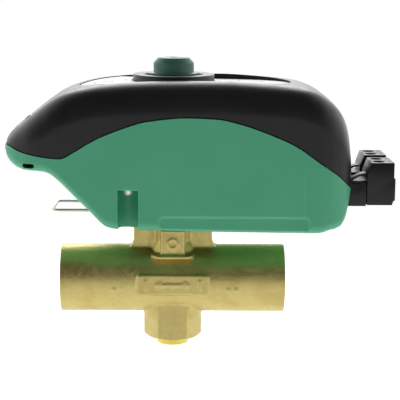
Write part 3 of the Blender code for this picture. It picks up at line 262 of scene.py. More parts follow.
def make_camera():
    """A long lens a little above the pipe, square to the front of the head."""
    azimuth, rise, roll = (math.radians(a) for a in (CAMERA_AZIMUTH, CAMERA_ELEVATION, CAMERA_ROLL))
    back = Vector((math.sin(azimuth) * math.cos(rise), -math.cos(azimuth) * math.cos(rise), math.sin(rise)))
    right = (-back).cross(Vector((0.0, 0.0, 1.0))).normalized()
    up = right.cross(-back)
    across = right * math.cos(roll) + up * math.sin(roll)
    upright = up * math.cos(roll) - right * math.sin(roll)
    place = (CAMERA_TARGET + back * CAMERA_DISTANCE) * MM
    data = bpy.data.cameras.new("camera")
    data.sensor_width = 36.0
    data.lens = data.sensor_width / 2 / math.tan(math.radians(CAMERA_FOV) / 2)
    data.clip_start = 0.01
    camera = bpy.data.objects.new("camera", data)
    stand = Matrix((across, upright, back)).transposed().to_4x4()
    stand.translation = place
    camera.matrix_world = stand
    bpy.context.scene.collection.objects.link(camera)
    bpy.context.scene.camera = camera


def make_world():
    """A white studio, bright low behind the valve and at its sides, dark above and before it."""
    world = bpy.data.worlds.new("studio")
    world.use_nodes = True
    bpy.context.scene.world = world
    tree = world.node_tree
    place = tree.nodes.new("ShaderNodeTexCoord").outputs["Generated"]

    def vector_math(operation, source, vector=None):
        """A vector node fed by a socket."""
        node = tree.nodes.new("ShaderNodeVectorMath")
        node.operation = operation
        if vector:
            node.inputs[1].default_value = vector
        tree.links.new(source, node.inputs[0])
        return node

    spread = vector_math("ABSOLUTE", place)
    along_pipe = vector_math("DOT_PRODUCT", spread.outputs["Vector"], (SKY_ALONG_PIPE, 0.0, 0.0))
    lean = vector_math("DOT_PRODUCT", place, SKY_LEAN)
    both = tree.nodes.new("ShaderNodeMath")
    both.operation = "ADD"
    dim = tree.nodes.new("ShaderNodeMapRange")
    dim.interpolation_type = "SMOOTHSTEP"
    for socket, value in zip(("From Min", "To Min", "From Max", "To Max"), (*SKY_DARK, *SKY_BRIGHT)):
        dim.inputs[socket].default_value = value
    pick = tree.nodes.new("ShaderNodeMix")
    pick.data_type = "FLOAT"
    pick.inputs["B"].default_value = 1.0
    ray = tree.nodes.new("ShaderNodeLightPath")
    background = tree.nodes["Background"]
    background.inputs["Color"].default_value = (1.0, 1.0, 1.0, 1.0)
    for source, target in (
        (lean.outputs["Value"], both.inputs[0]), (along_pipe.outputs["Value"], both.inputs[1]),
        (both.outputs["Value"], dim.inputs["Value"]), (dim.outputs["Result"], pick.inputs["A"]),
        (ray.outputs["Is Camera Ray"], pick.inputs["Factor"]),
        (pick.outputs["Result"], background.inputs["Strength"]),
    ):
        tree.links.new(source, target)


def make_light(name, place, aim, size, power):
    """A square soft box at one place, turned towards another."""
    data = bpy.data.lights.new(name, "AREA")
    data.shape = "SQUARE"
    data.size = size * MM
    data.energy = power
    light = bpy.data.objects.new(name, data)
    light.location = Vector(place) * MM
    light.rotation_euler = (Vector(aim) - Vector(place)).to_track_quat("-Z", "Y").to_euler()
    bpy.context.scene.collection.objects.link(light)


def make_floor(material):
    """A wide pale floor, well below the valve."""
    bm = bmesh.new()
    bmesh.ops.create_grid(bm, x_segments=8, y_segments=8, size=FLOOR_HALF * MM)
    mesh = bpy.data.meshes.new("floor")
    bm.to_mesh(mesh)
    bm.free()
    floor = bpy.data.objects.new("floor", mesh)
    floor.location = (0.0, 0.0, (DISC_BOTTOM - FLOOR_DROP) * MM)
    floor.data.materials.append(material)
    bpy.context.scene.collection.objects.link(floor)


# ---------------------------------------------------------------- materials


class Finish:
    """A Principled material that is built up node by node."""

    def __init__(self, name, colour, roughness, metallic=0.0):
        """Start from plain values, with object coordinates ready for patterns."""
        self.material = bpy.data.materials.new(name)
        self.material.use_nodes = True
        self.tree = self.material.node_tree
        self.shader = self.tree.nodes["Principled BSDF"]
        self.colour = (*colour, 1.0)
        self.base = self.shader.inputs["Base Color"]
        self.base.default_value = self.colour
        self.rough = self.shader.inputs["Roughness"]
        self.rough.default_value = roughness
        self.shader.inputs["Metallic"].default_value = metallic
        self.place = self.tree.nodes.new("ShaderNodeTexCoord").outputs["Object"]
        self.normal = None

    def link(self, source, target):
        """Join two sockets."""
        self.tree.links.new(source, target)

    def stretched(self, scale):
        """Object coordinates, stretched along each axis."""
        node = self.tree.nodes.new("ShaderNodeMapping")
        node.inputs["Scale"].default_value = scale
        self.link(self.place, node.inputs["Vector"])
        return node.outputs["Vector"]

    def grain(self, size, detail=3.0, stretch=None, rough=0.5):
        """Noise whose blotches are about the given size."""
        node = self.tree.nodes.new("ShaderNodeTexNoise")
        node.inputs["Scale"].default_value = 1.0 / (size * MM)
        node.inputs["Detail"].default_value = detail
        node.inputs["Roughness"].default_value = rough
        self.link(self.stretched(stretch) if stretch else self.place, node.inputs["Vector"])
        return node.outputs["Fac"]

    def cells(self, size, feature="F1"):
        """Cell pattern of the given size."""
        node = self.tree.nodes.new("ShaderNodeTexVoronoi")
        node.feature = feature
        node.inputs["Scale"].default_value = 1.0 / (size * MM)
        self.link(self.place, node.inputs["Vector"])
        return node.outputs["Distance"]

    def ranged(self, source, start, end, first, last):
        """Stretch a value from one range to another."""
        node = self.tree.nodes.new("ShaderNodeMapRange")
        node.interpolation_type = "SMOOTHSTEP"
        for socket, value in zip(("From Min", "From Max", "To Min", "To Max"), (start, end, first, last)):
            node.inputs[socket].default_value = value
        self.link(source, node.inputs["Value"])
        return node.outputs["Result"]

    def tint(self, factor, colour):
        """Blend the colour so far towards another by a factor."""
        node = self.tree.nodes.new("ShaderNodeMix")
        node.data_type = "RGBA"
        node.inputs["A"].default_value = self.colour
        if self.base.links:
            self.link(self.base.links[0].from_socket, node.inputs["A"])
        node.inputs["B"].default_value = (*colour, 1.0)
        self.link(factor, node.inputs["Factor"])
        self.link(node.outputs["Result"], self.base)
        return self

    def gloss(self, source, smooth, rough):
        """Let a value run the roughness between two limits."""
        self.link(self.ranged(source, 0.3, 0.7, smooth, rough), self.rough)
        return self

    def relief(self, source, depth, strength=1.0):
        """Raise the surface by a value, on top of any relief so far."""
        node = self.tree.nodes.new("ShaderNodeBump")
        node.inputs["Distance"].default_value = depth * MM
        node.inputs["Strength"].default_value = strength
        self.link(source, node.inputs["Height"])
        if self.normal:
            self.link(self.normal, node.inputs["Normal"])
        self.normal = node.outputs["Normal"]
        self.link(self.normal, self.shader.inputs["Normal"])
        return self


def cast_brass():
    """Blasted forging: fine pits and darker stains."""
    finish = Finish("blasted_brass", (0.585, 0.485, 0.185), 0.4, 1.0)
    stain = finish.grain(9.0, 4.0)
    speck = finish.grain(0.55, 5.0, rough=0.7)
    finish.tint(finish.ranged(stain, 0.42, 0.72, 0.0, 0.5), (0.47, 0.34, 0.11))
    finish.tint(finish.ranged(speck, 0.52, 0.72, 0.0, 0.55), (0.38, 0.30, 0.10))
    finish.gloss(finish.grain(1.6, 4.0), 0.37, 0.52)
    finish.relief(finish.grain(2.6, 3.0), 0.10, 0.6)
    finish.relief(speck, 0.09, 0.8)
    return finish.material


def turned_brass():
    """Lathe-cut brass with fine rings and a few dull spots."""
    finish = Finish("bright_brass", (0.72, 0.58, 0.10), 0.26, 1.0)
    finish.tint(finish.ranged(finish.grain(2.2, 4.0), 0.5, 0.75, 0.0, 0.5), (0.55, 0.42, 0.08))
    finish.gloss(finish.grain(0.8, 3.0), 0.2, 0.36)
    finish.relief(finish.grain(0.25, 3.0, (1.0, 1.0, 6.0)), 0.012, 0.7)
    return finish.material


def steel(name, colour=(0.60, 0.60, 0.585), roughness=0.3, grain=(1.0, 1.0, 9.0)):
    """Satin steel with drawn scratches along one direction."""
    finish = Finish(name, colour, roughness, 1.0)
    scratch = finish.grain(0.5, 4.0, grain)
    darker = tuple(c * 0.72 for c in colour)
    finish.tint(finish.ranged(finish.grain(3.0, 3.0), 0.45, 0.7, 0.0, 0.5), darker)
    finish.gloss(scratch, roughness * 0.75, roughness * 1.35)
    finish.relief(scratch, 0.012, 0.6)
    return finish.material


def moulded(name, colour, paler, roughness, texture=0.32, depth=0.018, mirror=0.5):
    """Spark-textured moulded plastic: fine leathery grain and soft flow shading."""
    finish = Finish(name, colour, roughness)
    finish.shader.inputs["Specular IOR Level"].default_value = mirror
    cloud = finish.grain(22.0, 3.0)
    fine = finish.grain(texture, 3.0, rough=0.6)
    finish.tint(finish.ranged(cloud, 0.35, 0.7, 0.0, 0.3), paler)
    finish.gloss(finish.grain(5.0, 4.0), roughness * 0.9, roughness * 1.12)
    finish.relief(finish.cells(texture * 1.8), depth, 0.35)
    finish.relief(fine, depth, 0.6)
    return finish.material


def nylon():
    """Milky gear plastic with a waxy depth."""
    finish = Finish("nylon", (0.74, 0.71, 0.61), 0.42)
    finish.shader.inputs["Subsurface Weight"].default_value = 0.15
    finish.shader.inputs["Subsurface Scale"].default_value = 0.4 * MM
    finish.tint(finish.ranged(finish.grain(4.0, 3.0), 0.4, 0.7, 0.0, 0.5), (0.62, 0.57, 0.45))
    finish.relief(finish.grain(0.5, 3.0), 0.01, 0.5)
    return finish.material


def rubber():
    """Soft black rubber with a dusty bloom."""
    finish = Finish("rubber", (0.018, 0.018, 0.019), 0.78)
    finish.tint(finish.ranged(finish.grain(1.2, 5.0), 0.5, 0.8, 0.0, 0.6), (0.06, 0.06, 0.06))
    finish.relief(finish.grain(0.3, 4.0), 0.02, 0.6)
    return finish.material


def film(name, colour):
    """Printed film: nearly smooth, faintly mottled."""
    finish = Finish(name, colour, 0.38)
    darker = tuple(c * 0.9 for c in colour)
    finish.tint(finish.ranged(finish.grain(6.0, 4.0), 0.4, 0.75, 0.0, 0.6), darker)
    finish.gloss(finish.grain(1.5, 3.0), 0.32, 0.45)
    finish.relief(finish.grain(0.6, 3.0), 0.006, 0.5)
    return finish.material


def board_finish():
    """Solder mask over fine copper tracks."""
    finish = Finish("circuit_board", (0.02, 0.15, 0.06), 0.35)
    tracks = finish.cells(2.4, "DISTANCE_TO_EDGE")
    finish.tint(finish.ranged(tracks, 0.03, 0.07, 0.7, 0.0), (0.07, 0.32, 0.13))
    finish.relief(finish.ranged(tracks, 0.03, 0.07, 1.0, 0.0), 0.03, 0.7)
    return finish.material


def sleeve():
    """Shrunk dark blue film."""
    finish = Finish("capacitor_sleeve", (0.02, 0.035, 0.12), 0.22)
    finish.tint(finish.ranged(finish.grain(3.0, 3.0), 0.45, 0.7, 0.0, 0.4), (0.04, 0.06, 0.18))
    finish.relief(finish.grain(1.5, 3.0), 0.03, 0.4)
    return finish.material


def smoked(name, colour, roughness):
    """Tinted glossy plastic."""
    finish = Finish(name, colour, roughness)
    finish.shader.inputs["Coat Weight"].default_value = 0.6
    finish.shader.inputs["Coat Roughness"].default_value = 0.05
    finish.tint(finish.ranged(finish.grain(1.0, 3.0), 0.4, 0.7, 0.0, 0.5), tuple(c * 0.5 for c in colour))
    finish.relief(finish.grain(0.8, 2.0), 0.004, 0.5)
    return finish.material


def floor_finish():
    """Pale matt studio floor."""
    finish = Finish("studio_floor", (0.93, 0.93, 0.93), 0.9)
    finish.shader.inputs["Emission Color"].default_value = (1.0, 1.0, 1.0, 1.0)
    finish.shader.inputs["Emission Strength"].default_value = FLOOR_GLOW
    finish.tint(finish.ranged(finish.grain(60.0, 3.0), 0.4, 0.7, 0.0, 0.5), (0.91, 0.91, 0.91))
    return finish.material


MATERIALS = {
    "blasted_brass": cast_brass(),
    "bright_brass": turned_brass(),
    "steel": steel("steel"),
    "spring_wire": steel("spring_wire", (0.58, 0.55, 0.47), 0.32, (9.0, 1.0, 1.0)),
    "green_plastic": moulded("green_plastic", (0.055, 0.355, 0.188), (0.075, 0.395, 0.225), 0.43),
    "dark_green_plastic": moulded(
        "dark_green_plastic", (0.028, 0.125, 0.088), (0.05, 0.185, 0.14), 0.42, 0.25, 0.012,
    ),
    "black_plastic": moulded(
        "black_plastic", (0.0105, 0.0105, 0.0118), (0.017, 0.017, 0.019), 0.34, 0.28, 0.014, 0.32,
    ),
    "white_plastic": film("white_plastic", (0.76, 0.74, 0.71)),
    "nylon": nylon(),
    "rubber": rubber(),
    "circuit_board": board_finish(),
    "capacitor_sleeve": sleeve(),
    "smoked_lens": smoked("smoked_lens", (0.035, 0.02, 0.02), 0.12),
    "lamp_resin": smoked("lamp_resin", (0.55, 0.68, 0.55), 0.15),
}
PRINT = film("label_print", (0.34, 0.27, 0.25))
GLOSS_FILM = smoked("badge_film", (0.012, 0.012, 0.013), 0.2)
ZINC = steel("zinc", (0.88, 0.88, 0.86), 0.5, (1.0, 1.0, 1.0))


# ---------------------------------------------------------------- mesh tools


def link(name, data):
    """Wrap a mesh or a curve in an object."""
    obj = bpy.data.objects.new(name, data)
    bpy.context.scene.collection.objects.link(obj)
    return obj


def from_bmesh(name, bm):
    """Turn a bmesh into an object, with its faces pointing out."""
    bmesh.ops.recalc_face_normals(bm, faces=bm.faces[:])
    mesh = bpy.data.meshes.new(name)
    bm.to_mesh(mesh)
    bm.free()
    return link(name, mesh)


def bake(obj):
    """Replace an object's mesh, or curve, by what its modifiers make of it."""
    bpy.context.view_layer.update()
    graph = bpy.context.evaluated_depsgraph_get()
    mesh = bpy.data.meshes.new_from_object(obj.evaluated_get(graph))
    bm = bmesh.new()
    bm.from_mesh(mesh)
    bmesh.ops.remove_doubles(bm, verts=bm.verts[:], dist=0.001 * MM)
    bmesh.ops.recalc_face_normals(bm, faces=bm.faces[:])
    bm.transform(obj.matrix_world)
    bm.to_mesh(mesh)
    bm.free()
    name = obj.name
    bpy.data.objects.remove(obj, do_unlink=True)
    return link(name, mesh)


def boolean(target, tool, operation):
    """Join, cut or intersect one object with another, which it uses up."""
    modifier = target.modifiers.new("cut", "BOOLEAN")
    modifier.object = tool
    modifier.operation = operation
    modifier.solver = "EXACT"
    result = bake(target)
    bpy.data.objects.remove(tool, do_unlink=True)
    return result


def cut(target, *tools):
    """Take each tool out of the target."""
    for tool in tools:
        target = boolean(target, tool, "DIFFERENCE")
    return target


def bevel(obj, width, segments=3, angle=40.0):
    """Round every edge sharper than the angle."""
    modifier = obj.modifiers.new("round", "BEVEL")
    modifier.width = width * MM
    modifier.segments = segments
    modifier.limit_method = "ANGLE"
    modifier.angle_limit = math.radians(angle)
    return bake(obj)


def box(name, first, second):
    """A box between two corners."""
    bm = bmesh.new()
    bmesh.ops.create_cube(bm, size=1.0)
    first, second = Vector(first) * MM, Vector(second) * MM
    bmesh.ops.scale(bm, vec=second - first, verts=bm.verts[:])
    bmesh.ops.translate(bm, vec=(first + second) / 2, verts=bm.verts[:])
    return from_bmesh(name, bm)


def rod(name, start, end, radius, sides=48, end_radius=None):
    """A round bar, or a cone, between two points."""
    start, end = Vector(start) * MM, Vector(end) * MM
    run = end - start
    turn = Vector((0, 0, 1)).rotation_difference(run).to_matrix().to_4x4()
    bm = bmesh.new()
    bmesh.ops.create_cone(
        bm, cap_ends=True, segments=sides, radius1=radius * MM,
        radius2=(radius if end_radius is None else end_radius) * MM,
        depth=run.length,
        matrix=Matrix.Translation((start + end) / 2) @ turn,
    )
    return from_bmesh(name, bm)


def turned(name, profile, sides=96, centre=(0, 0), axis="Z"):
    """Spin a profile of (radius, height) points about an axis."""
    bm = bmesh.new()
    points = [bm.verts.new((r * MM, 0.0, z * MM)) for r, z in profile]
    for first, second in zip(points, points[1:]):
        bm.edges.new((first, second))
    if profile[0][0] > 0 or profile[-1][0] > 0:
        bm.edges.new((points[-1], points[0]))
    mesh = bpy.data.meshes.new(name)
    bm.to_mesh(mesh)
    bm.free()
    obj = link(name, mesh)
    screw = obj.modifiers.new("spin", "SCREW")
    screw.axis = "Z"
    screw.angle = math.tau
    screw.steps = screw.render_steps = sides
    screw.use_merge_vertices = True
    screw.merge_threshold = 0.002 * MM
    if axis == "X":
        obj.rotation_euler = (0.0, math.pi / 2, 0.0)
    obj.location = (centre[0] * MM, centre[1] * MM, 0.0)
    return bake(obj)


def eased(profile, radius, steps=4):
    """The same profile with each of its inner corners rounded."""
    points = [Vector(p) for p in profile]
    result = [points[0]]
    for before, corner, after in zip(points, points[1:], points[2:]):
        back, ahead = before - corner, after - corner
        reach = min(radius, 0.45 * back.length, 0.45 * ahead.length)
        start, end = corner + back.normalized() * reach, corner + ahead.normalized() * reach
        for i in range(steps + 1):
            t = i / steps
            result.append(start * (1 - t) ** 2 + corner * 2 * t * (1 - t) + end * t * t)
    return [(p.x, p.y) for p in [*result, points[-1]]]


def extruded(name, loops, first, second, axis="Z"):
    """Fill flat loops, holes included, and give them thickness."""
    curve = bpy.data.curves.new(name, "CURVE")
    curve.dimensions = "2D"
    curve.fill_mode = "BOTH"
    curve.extrude = (second - first) / 2 * MM
    for loop in loops:
        spline = curve.splines.new("POLY")
        spline.points.add(len(loop) - 1)
        for point, (across, along_) in zip(spline.points, loop):
            point.co = (across * MM, along_ * MM, 0.0, 1.0)
        spline.use_cyclic_u = True
    obj = link(name, curve)
    middle = (first + second) / 2 * MM
    if axis == "Z":
        obj.location = (0.0, 0.0, middle)
    else:
        obj.rotation_euler = (math.pi / 2, 0.0, 0.0)
        obj.location = (0.0, middle, 0.0)
    return bake(obj)


def circle(radius, sides=32, centre=(0, 0)):
    """Points round a circle."""
    turns = [math.tau * i / sides for i in range(sides)]
    return [(centre[0] + radius * math.cos(a), centre[1] + radius * math.sin(a)) for a in turns]


def rounded_rectangle(first, second, radius, steps=8):
    """Points round a rectangle with quarter-circle corners."""
    points = []
    corners = [
        (second[0], second[1], 0), (first[0], second[1], 1),
        (first[0], first[1], 2), (second[0], first[1], 3),
    ]
    for x, y, quarter in corners:
        cx = x - math.copysign(radius, x - (first[0] + second[0]) / 2)
        cy = y - math.copysign(radius, y - (first[1] + second[1]) / 2)
        for i in range(steps + 1):
            a = math.pi / 2 * (quarter + i / steps)
            points.append((cx + radius * math.cos(a), cy + radius * math.sin(a)))
    return points


def loft(name, rings):
    """Skin a row of equal rings and close both ends."""
    bm = bmesh.new()
    rows = [[bm.verts.new(point) for point in ring] for ring in rings]
    count = len(rows[0])
    for first, second in zip(rows, rows[1:]):
        for i in range(count):
            j = (i + 1) % count
            bm.faces.new((first[i], first[j], second[j], second[i]))
    bm.faces.new(rows[0][::-1])
    bm.faces.new(rows[-1])
    return from_bmesh(name, bm)


def span(side, near, far):
    """The two distances on one side of the middle plane, lowest first."""
    return sorted((side * near, side * far))


def spin(obj, degrees, centre):
    """Turn a piece about the vertical through a centre."""
    obj.data.transform(Matrix.Rotation(math.radians(degrees), 4, "Z"))
    obj.data.transform(Matrix.Translation(Vector((*centre, 0.0)) * MM))


def show(obj, name, body, slot, *nodes, angle=32.0, level_faces=False, finish=None):
    """Name a finished piece, give it its finish, and let it stand for CAD nodes."""
    obj.name = name
    obj.data.name = name
    obj.data.materials.clear()
    obj.data.materials.append(finish or MATERIALS[slot])
    obj.data.shade_smooth()
    obj.data.set_sharp_from_angle(angle=math.radians(angle))
    if level_faces:
        weighted = obj.modifiers.new("weighted", "WEIGHTED_NORMAL")
        weighted.keep_sharp = True
        obj = bake(obj)
    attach(obj, body)
    if nodes:
        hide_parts(*nodes)
    return obj


# ---------------------------------------------------------------- head shape


def along(points, x):
    """Smooth monotone curve through (x, value) points."""
    if x <= points[0][0]:
        return points[0][1]
    if x >= points[-1][0]:
        return points[-1][1]
    slopes = [(b[1] - a[1]) / (b[0] - a[0]) for a, b in zip(points, points[1:])]
    tangents = [slopes[0]]
    for before, after in zip(slopes, slopes[1:]):
        flat = before * after <= 0
        tangents.append(0.0 if flat else 2 * before * after / (before + after))
    tangents.append(slopes[-1])
    i = max(k for k, point in enumerate(points[:-1]) if point[0] <= x)
    (x0, y0), (x1, y1) = points[i], points[i + 1]
    span = x1 - x0
    t = (x - x0) / span
    return (
        y0 * (1 + 2 * t) * (1 - t) ** 2 + tangents[i] * span * t * (1 - t) ** 2
        + y1 * t * t * (3 - 2 * t) + tangents[i + 1] * span * t * t * (t - 1)
    )


def head_section(x, inset, floor, roof, corner_steps, top_steps):
    """One closed cross-section of the head, in its Y-Z plane."""
    half = along(HALF_WIDTH, x) - inset
    height = roof - floor
    round_y = min(TOP_ROUND, 0.62 * half)
    round_z = min(TOP_ROUND_Z, 0.48 * height)
    bottom = min(BOTTOM_ROUND, 0.3 * height)
    flat = half - round_y
    shoulder = roof - CROWN_DROP * flat * flat
    ring = []
    for i in range(corner_steps + 1):
        a = math.pi / 2 * i / corner_steps
        ring.append((half - bottom + bottom * math.sin(a), floor + bottom - bottom * math.cos(a)))
    for i in range(top_steps + 1):
        a = math.pi / 2 * i / top_steps
        rise = shoulder - round_z + round_z * math.sin(a)
        ring.append((flat + round_y * math.cos(a), rise))
    for share in (0.75, 0.5, 0.25, 0.0):
        y = flat * share
        ring.append((y, roof - CROWN_DROP * y * y))
    mirrored = [(-y, z) for y, z in reversed(ring[:-1])]
    return [Vector((x * MM, y * MM, z * MM)) for y, z in ring + mirrored]


def stations(first, last):
    """Where the cross-sections stand: evenly, and closer together at both ends."""
    count = round((last - first) / STATION_STEP)
    middle, reach = (first + last) / 2, (last - first) / 2
    shares = [2 * i / count - 1 for i in range(count + 1)]
    return [middle + reach * (0.72 * s + 0.28 * math.sin(s * math.pi / 2)) for s in shares]


def label_level(x):
    """Height of the nearly level plane that the label lies in, or of the crown where that is lower."""
    return min(along(CROWN, x), LABEL_Z - LABEL_FALL * x)


def head_solid(name, inset=0.0, level=False):
    """The head's outer form, or the same form shrunk by an inset, with its crown pared level."""
    rings = []
    for x in stations(CROWN[0][0] + inset, CROWN[-1][0] - inset):
        floor = along(UNDERSIDE, x) + inset
        roof = (label_level(x) if level else along(CROWN, x)) - inset
        rings.append(head_section(x, inset, floor, roof, 8, 16))
    return loft(name, rings)


def cavity_solid(name):
    """The space inside the casing and the cover, one wall in from the outside."""
    rings = []
    step = 0.5
    for x in stations(CAVITY_LEFT, CAVITY_RIGHT)[::3]:
        falls = (along(CROWN, x + step) - along(CROWN, x - step)) / (2 * step)
        rises = (along(UNDERSIDE, x + step) - along(UNDERSIDE, x - step)) / (2 * step)
        wall = WALL if x < FLOOR_LEFT else FLOOR_WALL
        floor = along(UNDERSIDE, x) + wall * min(math.hypot(1.0, rises), 1.8)
        roof = along(CROWN, x) - WALL * min(math.hypot(1.0, falls), 2.2)
        roof = min(roof, label_level(x) - LABEL_WALL)
        if x < NOSE_RIGHT:
            floor = NOSE_FLOOR
        rings.append(head_section(x, WALL, floor, roof, 2, 5))
    return loft(name, rings)


def above_seam(name, shift):
    """Everything over the parting line, moved up or down by a shift."""
    first, last = SEAM[0][0], SEAM[-1][0]
    count = 130
    line = []
    for i in range(count + 1):
        x = first + (last - first) * i / count
        line.append((x, along(SEAM, x) + shift))
    outline = line + [(last, OVER_HEAD), (first, OVER_HEAD)]
    return extruded(name, [outline], -40.0, 40.0, axis="Y")


def stadium(radius, left, right, steps=28):
    """A long outline with round ends."""
    points = []
    for centre, start in ((right, -math.pi / 2), (left, math.pi / 2)):
        for i in range(steps + 1):
            a = start + math.pi * i / steps
            points.append((centre + radius * math.cos(a), radius * math.sin(a)))
    return points


def pocket(outline, depth, level=False):
    """A cutter that sinks an outline into the head's top."""
    prism = extruded("pocket", [outline], PRISM_LOW, OVER_HEAD)
    return cut(prism, head_solid("under", depth, level))


def thin_plate(name, loops, top, bottom, level=False):
    """A thin plate that lies in the head's top between two depths."""
    prism = extruded(name, loops, PRISM_LOW, OVER_HEAD)
    plate = boolean(prism, head_solid("upper", top, level), "INTERSECT")
    return cut(plate, head_solid("lower", bottom, level))


def badge_outline(grow):
    """The blank inset on the nose, seen from above."""
    first = (BADGE_X - BADGE_LENGTH / 2 - grow, -BADGE_HALF - grow)
    second = (BADGE_X + BADGE_LENGTH / 2 + grow, BADGE_HALF + grow)
    return rounded_rectangle(first, second, 2.4 + grow)


def channel_outline(radius, reach):
    """A U open towards the outside face, seen from above, for the front side."""
    points = [(CHANNEL_X + radius, -reach), (CHANNEL_X + radius, -CHANNEL_Y)]
    for i in range(1, 20):
        a = math.pi * i / 20
        points.append((CHANNEL_X + radius * math.cos(a), -CHANNEL_Y + radius * math.sin(a)))
    points += [(CHANNEL_X - radius, -CHANNEL_Y), (CHANNEL_X - radius, -reach)]
    return points


def both_sides(points):
    """The same outline at the front and mirrored to the back."""
    return [points, [(x, -y) for x, y in points]]


def side_ring(points, side, depth):
    """An outline in the X-Z plane, set so deep into one side of the head."""
    return [Vector((x * MM, side * (HALF - depth) * MM, z * MM)) for x, z in points]


def panel_cutter(side):
    """The long recess at the foot of the casing, with sloped and rounded walls."""
    levels = [(-0.6, 0.75), (0.0, 0.75), (0.08, 0.6), (PANEL_DEPTH - 0.08, -0.35), (PANEL_DEPTH, -0.5)]
    rings = []
    for depth, grow in levels:
        outline = rounded_rectangle(
            (PANEL_LEFT - grow, 12.0), (PANEL_RIGHT + grow, PANEL_TOP + grow), 1.7 + grow,
        )
        rings.append(side_ring(outline, side, depth))
    return loft("panel", rings)


def mouth_cutter(side):
    """A rounded edge round the mouth of a screw channel."""
    rings = []
    for depth, grow in ((-0.6, 0.5), (0.0, 0.5), (0.12, 0.24), (0.3, 0.08), (0.55, -0.02), (0.8, -0.06)):
        left, right = CHANNEL_X - CHANNEL_R - grow, CHANNEL_X + CHANNEL_R + grow
        top = CHANNEL_TOP + grow
        rings.append(side_ring(((left, 18.0), (right, 18.0), (right, top), (left, top)), side, depth))
    return loft("mouth", rings)


def header_window():
    """The opening in the right-hand wall that the terminal header fills."""
    first = (60.0, -HEADER_HALF - 0.3, HEADER_BOTTOM - 0.3)
    return box("window", first, (75.0, HEADER_HALF + 0.3, HEADER_TOP + 0.3))


def make_casing():
    """Green tub: wall, screw channels, panel recess, neck and wire openings."""
    casing = cut(head_solid("casing"), above_seam("over", -SEAM_GAP / 2))
    cavity = cavity_solid("cavity")
    for outline in both_sides(channel_outline(CHANNEL_BOSS_R, 31.0)):
        cavity = cut(cavity, extruded("boss", [outline], UNDER_HEAD, CHANNEL_BOSS_TOP))
    casing = cut(casing, cavity)
    for outline in both_sides(channel_outline(CHANNEL_R, 31.0)):
        casing = cut(casing, extruded("channel", [outline], UNDER_HEAD, CHANNEL_TOP))
    for side in (-1, 1):
        screw_y = side * CHANNEL_Y
        hole = rod("hole", (CHANNEL_X, screw_y, 36.0), (CHANNEL_X, screw_y, 44.0), 1.6)
        leg = rod("leg", (-38, side * CLIP_HALF, CLIP_Z), (-20, side * CLIP_HALF, CLIP_Z), WIRE_R + 0.4)
        casing = cut(casing, hole, leg, panel_cutter(side), mouth_cutter(side))
    neck_hole = rounded_rectangle((-15.6, -12.2), (15.6, 12.2), 3.0)
    tie = rounded_rectangle(
        (TIE_SLOT_X - TIE_HALF_X, TIE_SLOT_Z - TIE_HALF_Z),
        (TIE_SLOT_X + TIE_HALF_X, TIE_SLOT_Z + TIE_HALF_Z), 0.85,
    )
    notch = box("notch", (56.0, -26.0, 20.0), (59.0, -21.0, 28.0))
    casing = cut(
        casing, extruded("neck_hole", [neck_hole], UNDER_HEAD, 30.0),
        extruded("tie", [tie], -40.0, 40.0, axis="Y"), notch, header_window(),
    )
    return show(casing, "casing_shell", "valve", "green_plastic", "lower_casing", level_faces=True)


def make_cover():
    """Black cover: crown, label pocket, badge pocket and collar hole."""
    cover = boolean(head_solid("cover"), above_seam("over", SEAM_GAP / 2), "INTERSECT")
    cover = cut(cover, cavity_solid("cavity"))
    cover = cut(cover, pocket(stadium(LABEL_R + 0.4, LABEL_LEFT, LABEL_RIGHT), 0.75, level=True))
    cover = cut(cover, rod("seat", (0, 0, COLLAR_SEAT - 0.15), (0, 0, 90), COLLAR_R + 0.15, 128))
    cover = cut(cover, pocket(badge_outline(0.35), 0.8))
    cover = cut(cover, rod("hole", (0, 0, 70), (0, 0, 90), COLLAR_SPIGOT_R + 0.3, 96), header_window())
    return show(cover, "cover_shell", "valve", "black_plastic", "upper_cover", level_faces=True)


def make_label():
    """The pale plate, split by the collar, with plain generic marks."""
    for name, side in (("label_left", -1), ("label_right", 1)):
        plate = thin_plate(name, [stadium(LABEL_R, LABEL_LEFT, LABEL_RIGHT)], 0.3, 0.65, level=True)
        plate = cut(plate, rod("gap", (0, 0, 60), (0, 0, 90), COLLAR_R + 0.5, 96))
        near, far = span(-side, 0.5, 60.0)
        plate = cut(plate, box("half", (near, -30, 60), (far, 30, 90)))
        show(plate, name + "_film", "valve", "white_plastic", name)


def bar(x, y, length, width, turn=0.0):
    """A short straight mark, as an outline."""
    a = math.radians(turn)
    cos, sin = math.cos(a), math.sin(a)
    u, v = length / 2, width / 2
    corners = ((-u, -v), (u, -v), (u, v), (-u, v))
    return [(x + p * cos - q * sin, y + p * sin + q * cos) for p, q in corners]


def make_label_print():
    """Scale ticks round the collar, two open and shut bars, and a divider."""
    marks = []
    for i in range(7):
        turn = -45.0 + 15.0 * i
        for flip in (0.0, 180.0):
            a = math.radians(turn + flip)
            marks.append(bar(18.4 * math.cos(a), 13.2 * math.sin(a) * 0.95, 1.5, 0.45, turn + flip))
    marks.append(bar(-24.6, -7.0, 4.6, 1.1))
    marks.append(bar(-24.6, -4.4, 4.6, 0.5))
    marks.append(bar(-29.6, -5.0, 1.0, 5.2))
    marks.append(bar(25.0, 0.0, 0.4, 25.0))
    marks.append(bar(31.5, -8.0, 7.0, 0.8))
    marks.append(bar(31.5, -5.6, 5.0, 0.8))
    marks.append(bar(32.0, 6.0, 6.4, 0.7))
    marks.append(bar(-25.5, 6.5, 5.0, 0.7))
    plates = thin_plate("marks", marks, 0.26, 0.34, level=True)
    show(plates, "label_marks", "valve", "white_plastic", finish=PRINT)


